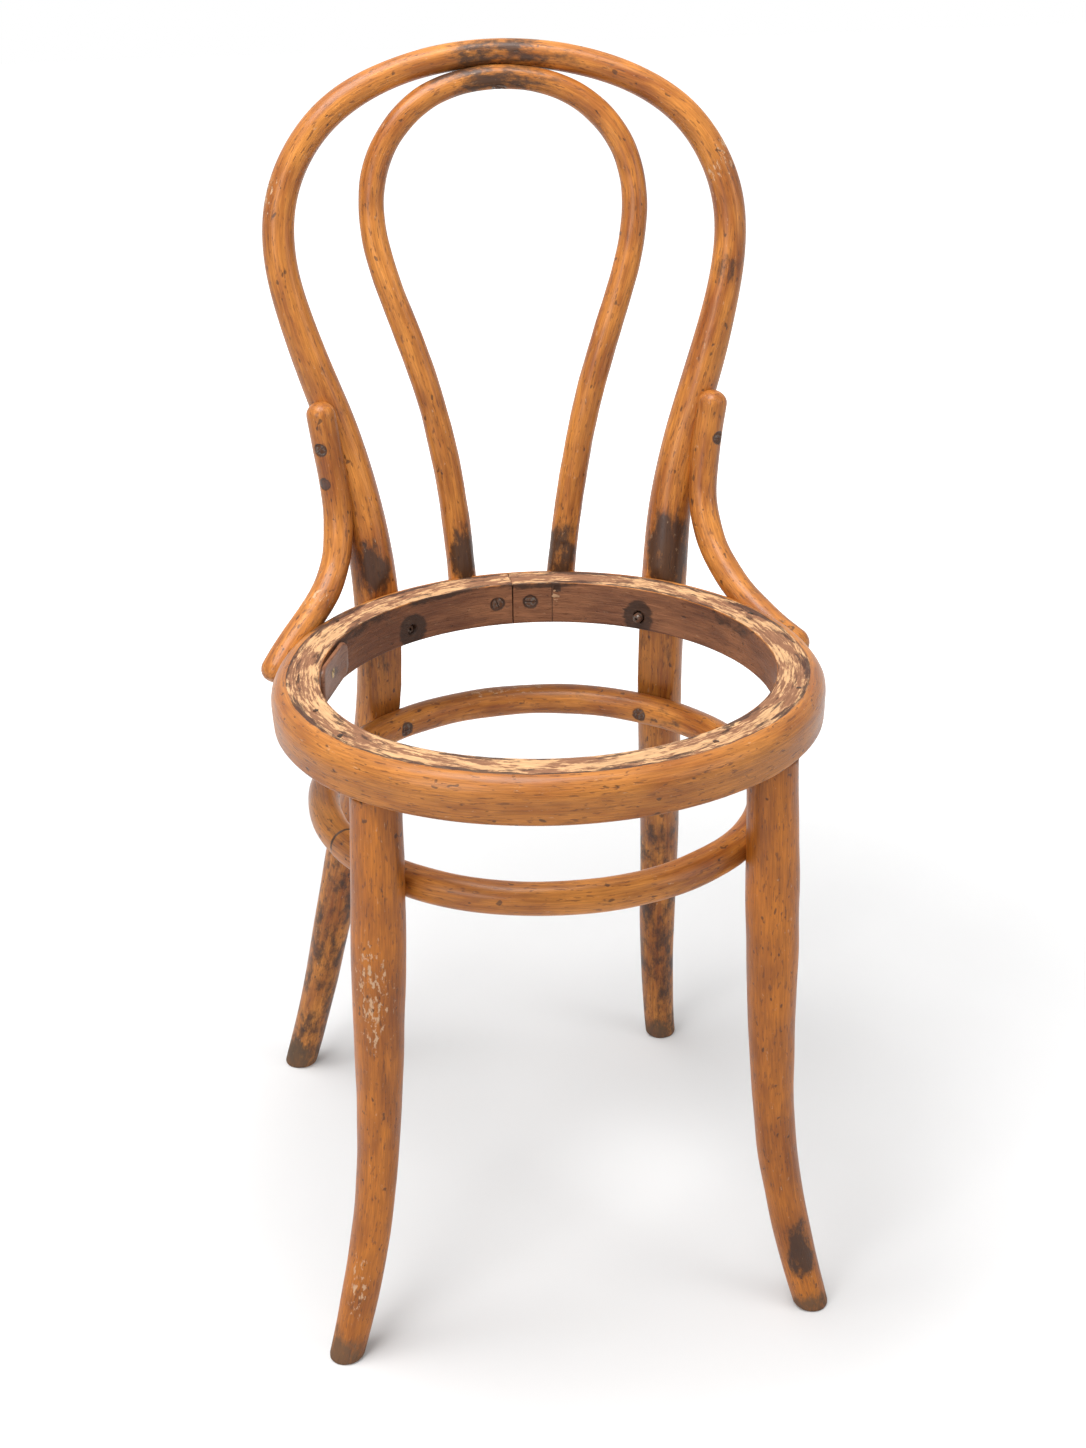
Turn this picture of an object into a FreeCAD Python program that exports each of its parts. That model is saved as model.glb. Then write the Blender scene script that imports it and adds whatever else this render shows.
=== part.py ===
import FreeCAD, Part
import math
import os

# Bentwood bistro chair with its seat panel gone, at real size in millimetres.
# +Z is up and +Y points to the chair's back.  The origin is on the floor, in the
# middle of the box round the chair; everything is first drawn about the centre of
# the seat ring and then moved there by ORIGIN_SHIFT.

ORIGIN_SHIFT = (-4.9, -51.8, 0.0)

# Seat ring: one bent bar with a flat top and a full side, in an oval that is fuller in front
SEAT_TOP = 491.0
RING_HEIGHT = 33.0
RING_INNER_HALF_WIDTH = 160.0
RING_INNER_HALF_DEPTH = 151.7
RING_SIDE_CENTRE = (23.2, -8.0)
RING_BAR_WIDTH = 34.3
RING_FLAT_WIDTH = 22.5
RING_SHOULDER_HEIGHT = 15.0
RING_SIDE_LEAN = 0.8
RING_LOWER_ROUND = 3.5
RING_SHOULDER_BEVELS = 3
RING_LOWER_BEVELS = 2
RING_BOTTOM = SEAT_TOP - RING_HEIGHT
RING_SEAM_ANGLE = 89.5
RING_SEAM_WIDTH = 0.9
RING_SEAM_DEPTH = 2.0

# Leg ring: a round rod bent to a circle inside the four legs
LEG_RING_RADIUS = 160.0
LEG_RING_ROD = 11.6
LEG_RING_CENTRE = (0.0, 17.6, 381.8)
LEG_RING_PARTS = 36
LEG_RING_SIDES = 14

# Back bow: rear legs and outer bow are one rod.  Each row is half the spread,
# the depth, the height, the rod's radius and how far the frame sways to +X.
BOW_HALF = [
    (165.2, 269.6, -12.0, 12.7, -20.6),
    (151.2, 256.4, 70.6, 14.1, -13.7),
    (142.5, 247.0, 142.1, 15.2, -7.3),
    (134.9, 233.0, 213.1, 16.0, -1.5),
    (125.9, 207.0, 280.8, 16.6, 2.0),
    (116.2, 174.0, 344.5, 16.9, 5.1),
    (110.4, 160.0, 413.9, 17.3, 8.2),
    (112.2, 166.4, 486.0, 17.2, 10.2),
    (121.0, 180.0, 556.9, 16.0, 10.3),
    (139.2, 188.2, 626.7, 14.3, 10.4),
    (160.0, 195.5, 695.8, 12.5, 9.0),
    (165.7, 206.9, 766.8, 11.6, 7.9),
    (133.2, 220.7, 828.7, 10.9, 7.9),
    (71.1, 239.5, 860.7, 10.1, 7.8),
    (0.0, 248.3, 870.0, 10.0, 7.8),
]
BOW_PARTS = 36
BOW_SIDES = 18

# Inner loop: a thinner rod scribed over the ring's rear shoulder
LOOP_HALF = [
    (37.0, 179.0, 464.0, 10.9, 4.1),
    (42.8, 181.6, 533.0, 10.6, 5.5),
    (51.4, 184.6, 588.8, 10.4, 6.5),
    (64.4, 189.0, 643.5, 10.2, 6.9),
    (81.8, 196.1, 696.5, 9.9, 7.0),
    (96.3, 207.4, 749.3, 9.6, 7.0),
    (90.2, 219.4, 803.2, 9.4, 7.4),
    (54.0, 233.2, 842.0, 9.2, 7.8),
    (0.0, 239.9, 854.0, 8.6, 8.8),
]
LOOP_PARTS = 24
LOOP_SIDES = 14

# The back frame has turned a little on the seat with age
BACK_YAW = -2.8
BACK_YAW_CENTRE = (0.0, 166.7, 0.0)

# Front legs: turned, thickest below the seat, feet swept outwards.  Each row is
# the distance from the middle, the depth, the height and the radius.
LEG_STATIONS = [
    (178.6, -121.6, -10.0, 12.4),
    (161.3, -115.8, 60.0, 13.7),
    (150.4, -111.5, 119.0, 14.4),
    (143.9, -109.3, 179.0, 15.1),
    (140.8, -109.6, 238.0, 16.6),
    (139.0, -110.7, 298.0, 18.2),
    (137.3, -111.3, 357.0, 18.8),
    (135.6, -110.8, 417.0, 17.9),
    (134.6, -110.4, 470.0, 17.2),
]
LEG_STOUTEST = 6
LEG_PARTS = 8
LEG_SIDES = 20
FOOT_TWIST = 4.5
FOOT_TWIST_TOP = 420.0
LEG_TENON_RADIUS = 11.0
LEG_TENON_LENGTH = 22.0

# Hip braces: bent rods from the bow's outer front down to the ring's side
BRACE_LINES = {
    "left": [
        (-136.4, 176.7, 636.5),
        (-130.6, 173.3, 587.0),
        (-128.0, 165.5, 543.0),
        (-137.0, 144.6, 509.5),
        (-162.0, 112.0, 485.5),
        (-190.0, 80.5, 458.0),
    ],
    "right": [
        (159.4, 163.0, 630.5),
        (151.8, 158.6, 577.5),
        (149.6, 147.6, 541.0),
        (156.4, 122.8, 509.7),
        (173.0, 88.2, 485.5),
        (199.4, 37.5, 467.5),
    ],
}
BRACE_RADIUS = 10.9
BRACE_TIP = 10.0
BRACE_PARTS = 9
BRACE_SIDES = 13

# Where a rod's outlines stand within its rounded tips, as shares of the tip, and
# how much a millimetre of straight rod counts beside a radian of bend between them
TIP_SHARES = (0.04, 0.3)
STRAIGHT_EFFORT = 0.0022
EFFORT_STEPS = 400
HALVINGS = 40

# Wide slabs that trim the legs level, under the floor and under the ring
SLAB_WIDTH = 1000.0
SLAB_THICKNESS = 100.0

# Seats of the posts on the ring, and their bolts and washers
POST_SEAT_CUT = 1.5
POST_FLAT_HALF_HEIGHT = 110.0
RING_FLAT_HALF_HEIGHT = 40.0
FLAT_HALF_WIDTH = 30.0
BOLT_RADIUS = 3.5
BOLT_HEAD_RADIUS = 7.5
BOLT_HEAD_HEIGHT = 4.5
BOLT_CHAMFER = 1.0
BOLT_DOME_STEPS = 4
BOLT_HOLE_EXTRA = 40.0
BOLT_HEIGHT = RING_BOTTOM + 10.0
BOLT_STICKS_OUT = {"left": -3.0, "right": 4.5}
WASHER_RADIUS = 10.0
WASHER_THICKNESS = 1.6
WASHER_BORE_GAP = 0.3
SPOT_FACE_DEPTH = 1.6
SPOT_FACE_GAP = 0.5
SPOT_FACE_REACH = 20.0

# Planed feet of the loop, beside the flat top on which the seat panel lay
LOOP_FOOT_CLEARANCE = 0.4
LOOP_FLAT_HALF_HEIGHT = 30.0

# Countersunk wood screws: how long each kind is and how deep its head is sunk
SCREW_RADIUS = 2.4
SCREW_HEAD_RADIUS = 4.6
SCREW_HEAD_DEPTH = 3.2
SCREW_POINT = 4.0
SCREW_TIP_RADIUS = 0.5
SCREW_SINK = 0.8
SCREW_WAY_IN = 12.0
BRACE_UPPER_SCREW = 34.0
BRACE_UPPER_LENGTH = 30.0
BRACE_LOWER_SCREW = 22.0
BRACE_LOWER_LENGTH = 36.0
SCARF_SCREW_ANGLES = (94.0, 84.4)
SCARF_SCREW_HEIGHT = SEAT_TOP - 15.5
SCARF_SCREW_LENGTH = 26.0
LOOP_SCREW_HEIGHT = RING_BOTTOM + 14.0
LOOP_SCREW_LENGTH = 28.0
CROWN_SCREW_LENGTH = 24.0
LEG_RING_SCREW_LENGTH = 36.0

# Wooden plug in the left brace, and the iron pins of the leg ring's joint
PLUG_PLACE = 60.0
PLUG_RADIUS = 4.2
PLUG_DEPTH = 5.0
PLUG_SINK = 0.5
PIN_ANGLES = (193.0, 207.0)
PIN_RADIUS = 1.6
PIN_LENGTH = 18.0
PIN_SINK = 0.4

# Mending plate inside the seat ring, and the tacks left in its top
PATCH_ANGLE = 161.0
PATCH_LENGTH = 62.0
PATCH_HEIGHT = 27.0
PATCH_THICKNESS = 2.6
PATCH_CORNER = 9.0
PATCH_CORNER_BEVELS = 4
PATCH_SCREW_LENGTH = 20.0
TACK_PLACES = [
    (-164.3, 172.8),
    (-150.0, 178.0),
    (-60.0, 170.0),
    (-25.5, 178.7),
    (20.0, 174.0),
    (142.0, 175.0),
]
TACK_RADIUS = 0.9
TACK_HEAD_RADIUS = 2.2
TACK_HEAD = 0.8
TACK_SINK = 0.3
TACK_LENGTH = 11.0

# Round pieces are drawn with narrow flat sides, about 5 mm wide on the rods
SCREW_SIDES = 10
BOLT_SIDES = 12
WASHER_SIDES = 20
TACK_SIDES = 8

UP = FreeCAD.Vector(0, 0, 1)
BACKWARDS = FreeCAD.Vector(0, 1, 0)
SIDEWAYS = FreeCAD.Vector(1, 0, 0)
SIDES = {"left": -1, "right": 1}


def vector(row):
    """The first three numbers of a row as a vector."""
    return FreeCAD.Vector(row[0], row[1], row[2])


def heading(angle):
    """Level unit vector at an angle in degrees round the seat's centre."""
    turn = math.radians(angle)
    return FreeCAD.Vector(math.cos(turn), math.sin(turn), 0)


def flat_direction(point):
    """Level unit vector from the seat's centre towards a point."""
    return FreeCAD.Vector(point.x, point.y, 0).normalize()


def at_level(direction, distance, height):
    """Point at a distance from the seat's centre along a level direction."""
    return direction * distance + UP * height


def polygon(radius, sides, height=0.0):
    """Corners of a regular outline round +Z."""
    return [heading(360 * k / sides) * radius + UP * height for k in range(sides)]


def flat_face(corners):
    """Flat face inside a closed outline."""
    return Part.Face(Part.makePolygon(corners + corners[:1]))


def turned(outline, sides):
    """Solid round +Z through (radius, height) rings."""
    rings = [polygon(radius, sides, height) for radius, height in outline]
    faces = [flat_face(rings[0]), flat_face(rings[-1])]
    for low, high in zip(rings, rings[1:]):
        for k in range(sides):
            faces.append(flat_face([low[k - 1], low[k], high[k], high[k - 1]]))
    return Part.makeSolid(Part.makeShell(faces))


def bar(radius, sides, low, high):
    """Straight round bar along +Z."""
    return turned([(radius, low), (radius, high)], sides)


def aim(solid, point, direction):
    """Move a solid drawn along +Z from the origin to a point and a direction."""
    solid.Placement = FreeCAD.Placement(point, FreeCAD.Rotation(UP, direction))
    return solid


# Bent rods

class Rod:
    """A round rod of changing thickness, bent along a smooth line in space."""

    def __init__(self, stations, parts, sides, reference, tip=0.0):
        """Stations are (centre, radius); tip is the length rounded off at both ends."""
        self.sides = sides
        marks = [0.0]
        for (here, _), (there, _) in zip(stations, stations[1:]):
            marks.append(marks[-1] + here.distanceToPoint(there))
        self.length = marks[-1]
        self.tip = tip
        self.reference = reference
        self.path = Part.BSplineCurve()
        self.path.interpolate(Points=[point for point, _ in stations], Parameters=marks)
        radii = [FreeCAD.Vector(radius, mark, 0) for (_, radius), mark in zip(stations, marks)]
        self.girth = Part.BSplineCurve()
        self.girth.interpolate(Points=radii, Parameters=marks)
        outlines = [self.outline(mark) for mark in self.section_marks(parts)]
        self.solid = Part.makeLoft(outlines, True, True)

    def section_marks(self, parts):
        """Places of the outlines: closer together where the rod bends and within its tips."""
        span = self.length - 2 * self.tip
        fine = [self.tip + span * k / EFFORT_STEPS for k in range(EFFORT_STEPS + 1)]
        effort = [0.0]
        for here, there in zip(fine, fine[1:]):
            bend = self.path.tangent(here)[0].getAngle(self.path.tangent(there)[0])
            effort.append(effort[-1] + bend + (there - here) * STRAIGHT_EFFORT)
        marks = []
        for k in range(parts + 1):
            goal = effort[-1] * k / parts
            nearest = min(range(EFFORT_STEPS + 1), key=lambda place: abs(effort[place] - goal))
            marks.append(fine[nearest])
        if self.tip:
            rounded = [self.tip * share for share in TIP_SHARES]
            marks = rounded + marks + [self.length - mark for mark in reversed(rounded)]
        return marks

    def radius(self, mark):
        """Radius at a place along the rod, egg-shaped within the tips."""
        radius = self.girth.value(mark).x
        gap = min(mark, self.length - mark)
        if self.tip and gap < self.tip:
            radius *= math.sqrt(1 - (1 - gap / self.tip) ** 2)
        return radius

    def radius_at(self, point):
        """Radius of the rod beside a point of its centre line."""
        return self.girth.value(self.path.parameter(point)).x

    def outline(self, mark):
        """Outline of the rod at a place, square to its centre line."""
        along = FreeCAD.Vector(*self.path.tangent(mark)[0])
        side = self.reference - along * self.reference.dot(along)
        turn = FreeCAD.Rotation(side, FreeCAD.Vector(), along, "ZXY")
        corners = polygon(self.radius(mark), self.sides)
        outline = Part.makePolygon(corners + corners[:1])
        outline.Placement = FreeCAD.Placement(self.path.value(mark), turn)
        return outline

    def at_height(self, height, side):
        """Centre of the rod where one side of a bow passes a height."""
        low = 0.0 if side == "left" else self.length
        high = self.length / 2
        for _ in range(HALVINGS):
            middle = (low + high) / 2
            if self.path.value(middle).z < height:
                low = middle
            else:
                high = middle
        return self.path.value(low)

    def nearest(self, point):
        """Point of the centre line nearest to a point."""
        return self.path.value(self.path.parameter(point))


def mirrored_stations(half):
    """Both sides of a half outline, from left foot to right foot, swayed and turned."""
    left = [(FreeCAD.Vector(sway - x, y, z), radius) for x, y, z, radius, sway in half]
    right = [(FreeCAD.Vector(sway + x, y, z), radius) for x, y, z, radius, sway in half[-2::-1]]
    turn = FreeCAD.Rotation(UP, BACK_YAW)
    centre = FreeCAD.Vector(*BACK_YAW_CENTRE)
    return [(turn.multVec(point - centre) + centre, radius) for point, radius in left + right]


def leg_stations(side):
    """Centre line and radii of a front leg, whose foot has crept round a little."""
    sign = SIDES[side]
    stations = []
    for x, y, z, radius in LEG_STATIONS:
        twist = FOOT_TWIST * max(0.0, 1 - z / FOOT_TWIST_TOP)
        stations.append((FreeCAD.Vector(sign * x, y - sign * twist, z), radius))
    return stations


def brace_stations(side):
    """Centre line and radii of a hip brace."""
    return [(vector(row), BRACE_RADIUS) for row in BRACE_LINES[side]]


# Seat ring

def oval_arcs():
    """The four arcs of the oval plan: first and last angle, centre and inner radius of each."""
    side_x, side_y = RING_SIDE_CENTRE
    side_radius = RING_INNER_HALF_WIDTH - side_x
    spare = RING_INNER_HALF_DEPTH - side_radius
    reach = spare ** 2 - side_x ** 2 - side_y ** 2
    rear_y = reach / (2 * (spare - side_y))
    front_y = -reach / (2 * (spare + side_y))
    rear_turn = math.degrees(math.atan2(side_y - rear_y, side_x))
    front_turn = math.degrees(math.atan2(side_y - front_y, side_x))
    return [
        (front_turn, rear_turn, FreeCAD.Vector(side_x, side_y, 0), side_radius),
        (rear_turn, 180 - rear_turn, FreeCAD.Vector(0, rear_y, 0), RING_INNER_HALF_DEPTH - rear_y),
        (180 - rear_turn, 180 - front_turn, FreeCAD.Vector(-side_x, side_y, 0), side_radius),
        (180 - front_turn, 360 + front_turn, FreeCAD.Vector(0, front_y, 0), RING_INNER_HALF_DEPTH + front_y),
    ]


def ring_reach(direction, thickness=0.0):
    """Distance from the seat's centre to the ring's inner face, or further out in the bar."""
    reaches = []
    for first, last, centre, radius in oval_arcs():
        along = direction.dot(centre)
        distance = along + math.sqrt(along ** 2 + (radius + thickness) ** 2 - centre.dot(centre))
        from_centre = direction * distance - centre
        past_first = (math.degrees(math.atan2(from_centre.y, from_centre.x)) - first) % 360
        reaches.append((max(0.0, past_first - (last - first)), distance))
    return min(reaches)[1]


def rounded(centre, across, upward, bevels, first, last):
    """Corners of short bevels along part of an oval corner, from angle first to angle last."""
    turns = [math.radians(first + (last - first) * k / bevels) for k in range(bevels + 1)]
    return [(centre[0] + across * math.cos(t), centre[1] + upward * math.sin(t)) for t in turns]


def bar_section(inner):
    """Section of the bent bar, with its inner face at a distance from the turning axis."""
    outer = inner + RING_BAR_WIDTH
    flat_edge = inner + RING_FLAT_WIDTH
    shoulder_centre = (flat_edge, SEAT_TOP - RING_SHOULDER_HEIGHT)
    shoulder = rounded(shoulder_centre, outer - flat_edge, RING_SHOULDER_HEIGHT, RING_SHOULDER_BEVELS, 90, 0)
    lower_centre = (outer - RING_SIDE_LEAN - RING_LOWER_ROUND, RING_BOTTOM + RING_LOWER_ROUND)
    lower = rounded(lower_centre, RING_LOWER_ROUND, RING_LOWER_ROUND, RING_LOWER_BEVELS, 0, -90)
    corners = [(inner, RING_BOTTOM), (inner, SEAT_TOP)] + shoulder + lower + [(inner, RING_BOTTOM)]
    return Part.Face(Part.makePolygon([FreeCAD.Vector(x, 0, z) for x, z in corners]))


def patch_section(inner):
    """Section of the mending plate, its back against the ring's inner face."""
    low = RING_BOTTOM + (RING_HEIGHT - PATCH_HEIGHT) / 2
    high = low + PATCH_HEIGHT
    front = inner - PATCH_THICKNESS
    corners = [(front, low), (inner, low), (inner, high), (front, high), (front, low)]
    return Part.Face(Part.makePolygon([FreeCAD.Vector(x, 0, z) for x, z in corners]))


def oval_sweep(section_at):
    """Solid that carries a section round the four arcs of the oval plan."""
    stretches = []
    for first, last, centre, inner in oval_arcs():
        stretch = section_at(inner).revolve(FreeCAD.Vector(), UP, last - first)
        stretch.Placement = FreeCAD.Placement(centre, FreeCAD.Rotation(UP, first))
        stretches.append(stretch)
    return stretches[0].fuse(stretches[1:]).removeSplitter()


def seam_groove():
    """Groove where the scarf joint of the bar has opened, up the inner face and over the top."""
    direction = heading(RING_SEAM_ANGLE)
    inner = ring_reach(direction)
    tall = Part.makeBox(
        2 * RING_SEAM_DEPTH, RING_SEAM_WIDTH, RING_HEIGHT,
        FreeCAD.Vector(inner - RING_SEAM_DEPTH, -RING_SEAM_WIDTH / 2, RING_BOTTOM),
    )
    across = Part.makeBox(
        RING_FLAT_WIDTH, RING_SEAM_WIDTH, RING_SEAM_DEPTH,
        FreeCAD.Vector(inner, -RING_SEAM_WIDTH / 2, SEAT_TOP - RING_SEAM_DEPTH),
    )
    groove = tall.fuse(across)
    groove.Placement = FreeCAD.Placement(FreeCAD.Vector(), FreeCAD.Rotation(SIDEWAYS, direction))
    return groove


def mending_plate():
    """Thin plate bent to the inner face, its corners rounded in short bevels."""
    across = PATCH_LENGTH / 2 - PATCH_CORNER
    upward = PATCH_HEIGHT / 2 - PATCH_CORNER
    outline = []
    for first, sign_y, sign_z in ((0, 1, 1), (90, -1, 1), (180, -1, -1), (270, 1, -1)):
        centre = (sign_y * across, sign_z * upward)
        outline += rounded(centre, PATCH_CORNER, PATCH_CORNER, PATCH_CORNER_BEVELS, first, first + 90)
    corners = [FreeCAD.Vector(RING_INNER_HALF_WIDTH / 2, y, z) for y, z in outline]
    blank = flat_face(corners).extrude(SIDEWAYS * RING_INNER_HALF_WIDTH)
    lift = UP * (RING_BOTTOM + RING_HEIGHT / 2)
    blank.Placement = FreeCAD.Placement(lift, FreeCAD.Rotation(UP, PATCH_ANGLE))
    return oval_sweep(patch_section).common(blank)


# Legs and leg ring

def front_leg(side):
    """Turned leg, cut off square under the ring, with a round tenon that enters it."""
    stations = leg_stations(side)
    rod = Rod(stations, LEG_PARTS, LEG_SIDES, BACKWARDS)
    return rod.solid.cut([below_floor(), slab(RING_BOTTOM)]).fuse(leg_tenon(side))


def leg_tenon(side):
    """Round end of a front leg, and the hole that it fills in the ring."""
    top = leg_stations(side)[-1][0]
    tenon = bar(LEG_TENON_RADIUS, LEG_SIDES, RING_BOTTOM, RING_BOTTOM + LEG_TENON_LENGTH)
    return tenon.translated(FreeCAD.Vector(top.x, top.y, 0))


def leg_ring_rod():
    """Round rod bent to a circle, in straight parts short enough to look round."""
    outlines = []
    for k in range(LEG_RING_PARTS + 1):
        outward = heading(360 * k / LEG_RING_PARTS)
        corners = polygon(LEG_RING_ROD, LEG_RING_SIDES)
        outline = Part.makePolygon(corners + corners[:1])
        turn = FreeCAD.Rotation(outward, FreeCAD.Vector(), UP.cross(outward), "ZXY")
        outline.Placement = FreeCAD.Placement(outward * LEG_RING_RADIUS, turn)
        outlines.append(outline)
    half = LEG_RING_PARTS // 2
    front = Part.makeLoft(outlines[:half + 1], True, True)
    rear = Part.makeLoft(outlines[half:], True, True)
    return front.fuse(rear).removeSplitter().translated(vector(LEG_RING_CENTRE))


def slab(bottom):
    """Wide level slab that takes off what reaches into it."""
    corner = FreeCAD.Vector(-SLAB_WIDTH / 2, -SLAB_WIDTH / 2, bottom)
    return Part.makeBox(SLAB_WIDTH, SLAB_WIDTH, SLAB_THICKNESS, corner)


def below_floor():
    """Slab under the floor, taken off every foot."""
    return slab(-SLAB_THICKNESS)


# Fasteners, each with the hole that it needs

class Fastener:
    """A turned piece along an axis, with the space that it takes in the wood."""

    def __init__(self, solid, hole, point, direction):
        self.solid = aim(solid, point, direction)
        self.hole = aim(hole, point, direction)


def wood_screw(point, direction, length):
    """Countersunk screw with its head flush at a point, and its hole with the way in."""
    rings = [
        (SCREW_HEAD_RADIUS, 0),
        (SCREW_RADIUS, SCREW_HEAD_DEPTH),
        (SCREW_RADIUS, length - SCREW_POINT),
        (SCREW_TIP_RADIUS, length),
    ]
    way_in = [(SCREW_HEAD_RADIUS, -SCREW_WAY_IN)]
    solid = turned(rings, SCREW_SIDES)
    return Fastener(solid, turned(way_in + rings, SCREW_SIDES), point, direction)


def sunk_pin(point, direction, length, radius, sink):
    """Round pin whose end lies a little below the surface at a point."""
    solid = bar(radius, SCREW_SIDES, sink, sink + length)
    hole = bar(radius, SCREW_SIDES, -sink, sink + length)
    return Fastener(solid, hole, point, direction)


def tack(point, direction):
    """Tack hammered in until its flat head is just below the surface at a point."""
    under_head = TACK_SINK + TACK_HEAD
    rings = [
        (TACK_HEAD_RADIUS, TACK_SINK),
        (TACK_HEAD_RADIUS, under_head),
        (TACK_RADIUS, under_head),
        (TACK_RADIUS, TACK_LENGTH),
    ]
    way_in = [(TACK_HEAD_RADIUS, -TACK_SINK)]
    return Fastener(turned(rings, TACK_SIDES), turned(way_in + rings[1:], TACK_SIDES), point, direction)


def post_bolt(point, direction, length):
    """Dome-headed bolt; the point is the middle of the dome's flat side."""
    dome = []
    for step in range(1, BOLT_DOME_STEPS + 1):
        turn = math.radians(90 * step / BOLT_DOME_STEPS)
        dome.append((BOLT_HEAD_RADIUS * math.sin(turn), -BOLT_HEAD_HEIGHT * math.cos(turn)))
    head = turned(dome, BOLT_SIDES)
    shank = turned(
        [
            (BOLT_RADIUS, 0),
            (BOLT_RADIUS, length - BOLT_CHAMFER),
            (BOLT_RADIUS - BOLT_CHAMFER, length),
        ],
        BOLT_SIDES,
    )
    hole = bar(BOLT_RADIUS, BOLT_SIDES, 0, length + BOLT_HOLE_EXTRA)
    return Fastener(head.fuse(shank), hole, point, direction)


def washer(point, direction):
    """Flat washer whose back lies on a spot face at a point."""
    disc = bar(WASHER_RADIUS, WASHER_SIDES, 0, WASHER_THICKNESS)
    bore = bar(BOLT_RADIUS + WASHER_BORE_GAP, BOLT_SIDES, 0, WASHER_THICKNESS)
    return aim(disc.cut(bore), point, direction)


# The chair, put together

def flat_cutter(half_height, start):
    """Block that planes a flat square to +X, from a place on that axis outwards."""
    width = 2 * FLAT_HALF_WIDTH
    corner = FreeCAD.Vector(start, -FLAT_HALF_WIDTH, -half_height)
    return Part.makeBox(width, width, 2 * half_height, corner)


class Chair:
    """The pieces by name, and what is still to be cut from each."""

    def __init__(self):
        self.bow = Rod(mirrored_stations(BOW_HALF), BOW_PARTS, BOW_SIDES, BACKWARDS)
        self.loop = Rod(mirrored_stations(LOOP_HALF), LOOP_PARTS, LOOP_SIDES, BACKWARDS)
        self.braces = {}
        for side in SIDES:
            stations = brace_stations(side)
            level = UP.cross(stations[-1][0] - stations[0][0])
            self.braces[side] = Rod(stations, BRACE_PARTS, BRACE_SIDES, level, BRACE_TIP)
        self.pieces = {
            "back_bow": [self.bow.solid.cut(below_floor())],
            "inner_loop": [self.loop.solid],
            "seat_ring": [oval_sweep(bar_section).cut(seam_groove())],
            "leg_ring": [leg_ring_rod()],
            "ring_patch": [mending_plate()],
        }
        for side in SIDES:
            self.pieces["front_leg_" + side] = [front_leg(side)]
            self.pieces["brace_" + side] = [self.braces[side].solid]
        self.cuts = {name: [] for name in self.pieces}

    def cut(self, name, *tools):
        """Remember what is to be taken from a piece."""
        self.cuts[name].extend(tools)

    def fasten(self, group, fastener, *names):
        """Add a fastener to its group and its hole to the pieces that it holds."""
        self.pieces.setdefault(group, []).append(fastener.solid)
        for name in names:
            self.cut(name, fastener.hole)

    def trim(self, name):
        """Take what was remembered from a piece."""
        self.pieces[name] = [self.pieces[name][0].cut(self.cuts[name])]

    def scribe(self, name, *onto):
        """Hollow a piece so that it fits the others that it lies on."""
        self.pieces[name] = [self.pieces[name][0].cut([self.pieces[other][0] for other in onto])]

    def seat_posts(self):
        """Flats where the rear posts lie against the ring, each with a bolt and a washer."""
        for side in SIDES:
            post = self.bow.at_height(BOLT_HEIGHT, side)
            outward = flat_direction(post)
            contact = at_level(outward, ring_reach(outward, RING_BAR_WIDTH) - POST_SEAT_CUT, BOLT_HEIGHT)
            ring_flat = flat_cutter(RING_FLAT_HALF_HEIGHT, 0)
            post_flat = flat_cutter(POST_FLAT_HALF_HEIGHT, -2 * FLAT_HALF_WIDTH)
            turn = FreeCAD.Rotation(SIDEWAYS, outward)
            for flat in (ring_flat, post_flat):
                flat.Placement = FreeCAD.Placement(contact, turn)
            self.cut("seat_ring", ring_flat)
            back = post + outward * (self.bow.radius_at(post) - SPOT_FACE_DEPTH)
            spot = aim(bar(WASHER_RADIUS + SPOT_FACE_GAP, WASHER_SIDES, 0, SPOT_FACE_REACH), back, outward)
            self.cut("back_bow", post_flat, spot)
            self.pieces.setdefault("post_washers", []).append(washer(back, outward))
            under_head = back + outward * WASHER_THICKNESS
            inner_face = outward * ring_reach(outward)
            length = (under_head - inner_face).dot(outward) + BOLT_STICKS_OUT[side]
            self.fasten("post_bolts", post_bolt(under_head, outward * -1, length), "seat_ring", "back_bow")

    def fix_braces(self):
        """A screw through each end of each brace, and the plugged hole in the left one."""
        sink = BRACE_RADIUS - SCREW_SINK
        for side, rod in self.braces.items():
            name = "brace_" + side
            start = rod.path.value(BRACE_UPPER_SCREW)
            inward = (self.bow.nearest(start) - start).normalize()
            screw = wood_screw(start - inward * sink, inward, BRACE_UPPER_LENGTH)
            self.fasten("brace_upper_screws", screw, name, "back_bow")
            end = rod.path.value(rod.length - BRACE_LOWER_SCREW)
            inward = flat_direction(end) * -1
            screw = wood_screw(end - inward * sink, inward, BRACE_LOWER_LENGTH)
            self.fasten("brace_lower_screws", screw, name, "seat_ring")
        place = self.braces["left"].path.value(PLUG_PLACE)
        inward = (self.bow.nearest(place) - place).normalize()
        plug = sunk_pin(place - inward * BRACE_RADIUS, inward, PLUG_DEPTH, PLUG_RADIUS, PLUG_SINK)
        self.fasten("brace_plug", plug, "brace_left")

    def fix_seat_ring(self):
        """Screws in the scarf joint, the mending plate's screw and the old seat's tacks."""
        for angle in SCARF_SCREW_ANGLES:
            outward = heading(angle)
            head = at_level(outward, ring_reach(outward) + SCREW_SINK, SCARF_SCREW_HEIGHT)
            self.fasten("scarf_screws", wood_screw(head, outward, SCARF_SCREW_LENGTH), "seat_ring")
        outward = heading(PATCH_ANGLE)
        head = at_level(outward, ring_reach(outward) - PATCH_THICKNESS, RING_BOTTOM + RING_HEIGHT / 2)
        screw = wood_screw(head, outward, PATCH_SCREW_LENGTH)
        self.fasten("patch_screw", screw, "ring_patch", "seat_ring")
        for angle, distance in TACK_PLACES:
            self.fasten("seat_tacks", tack(at_level(heading(angle), distance, SEAT_TOP), UP * -1), "seat_ring")

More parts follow.
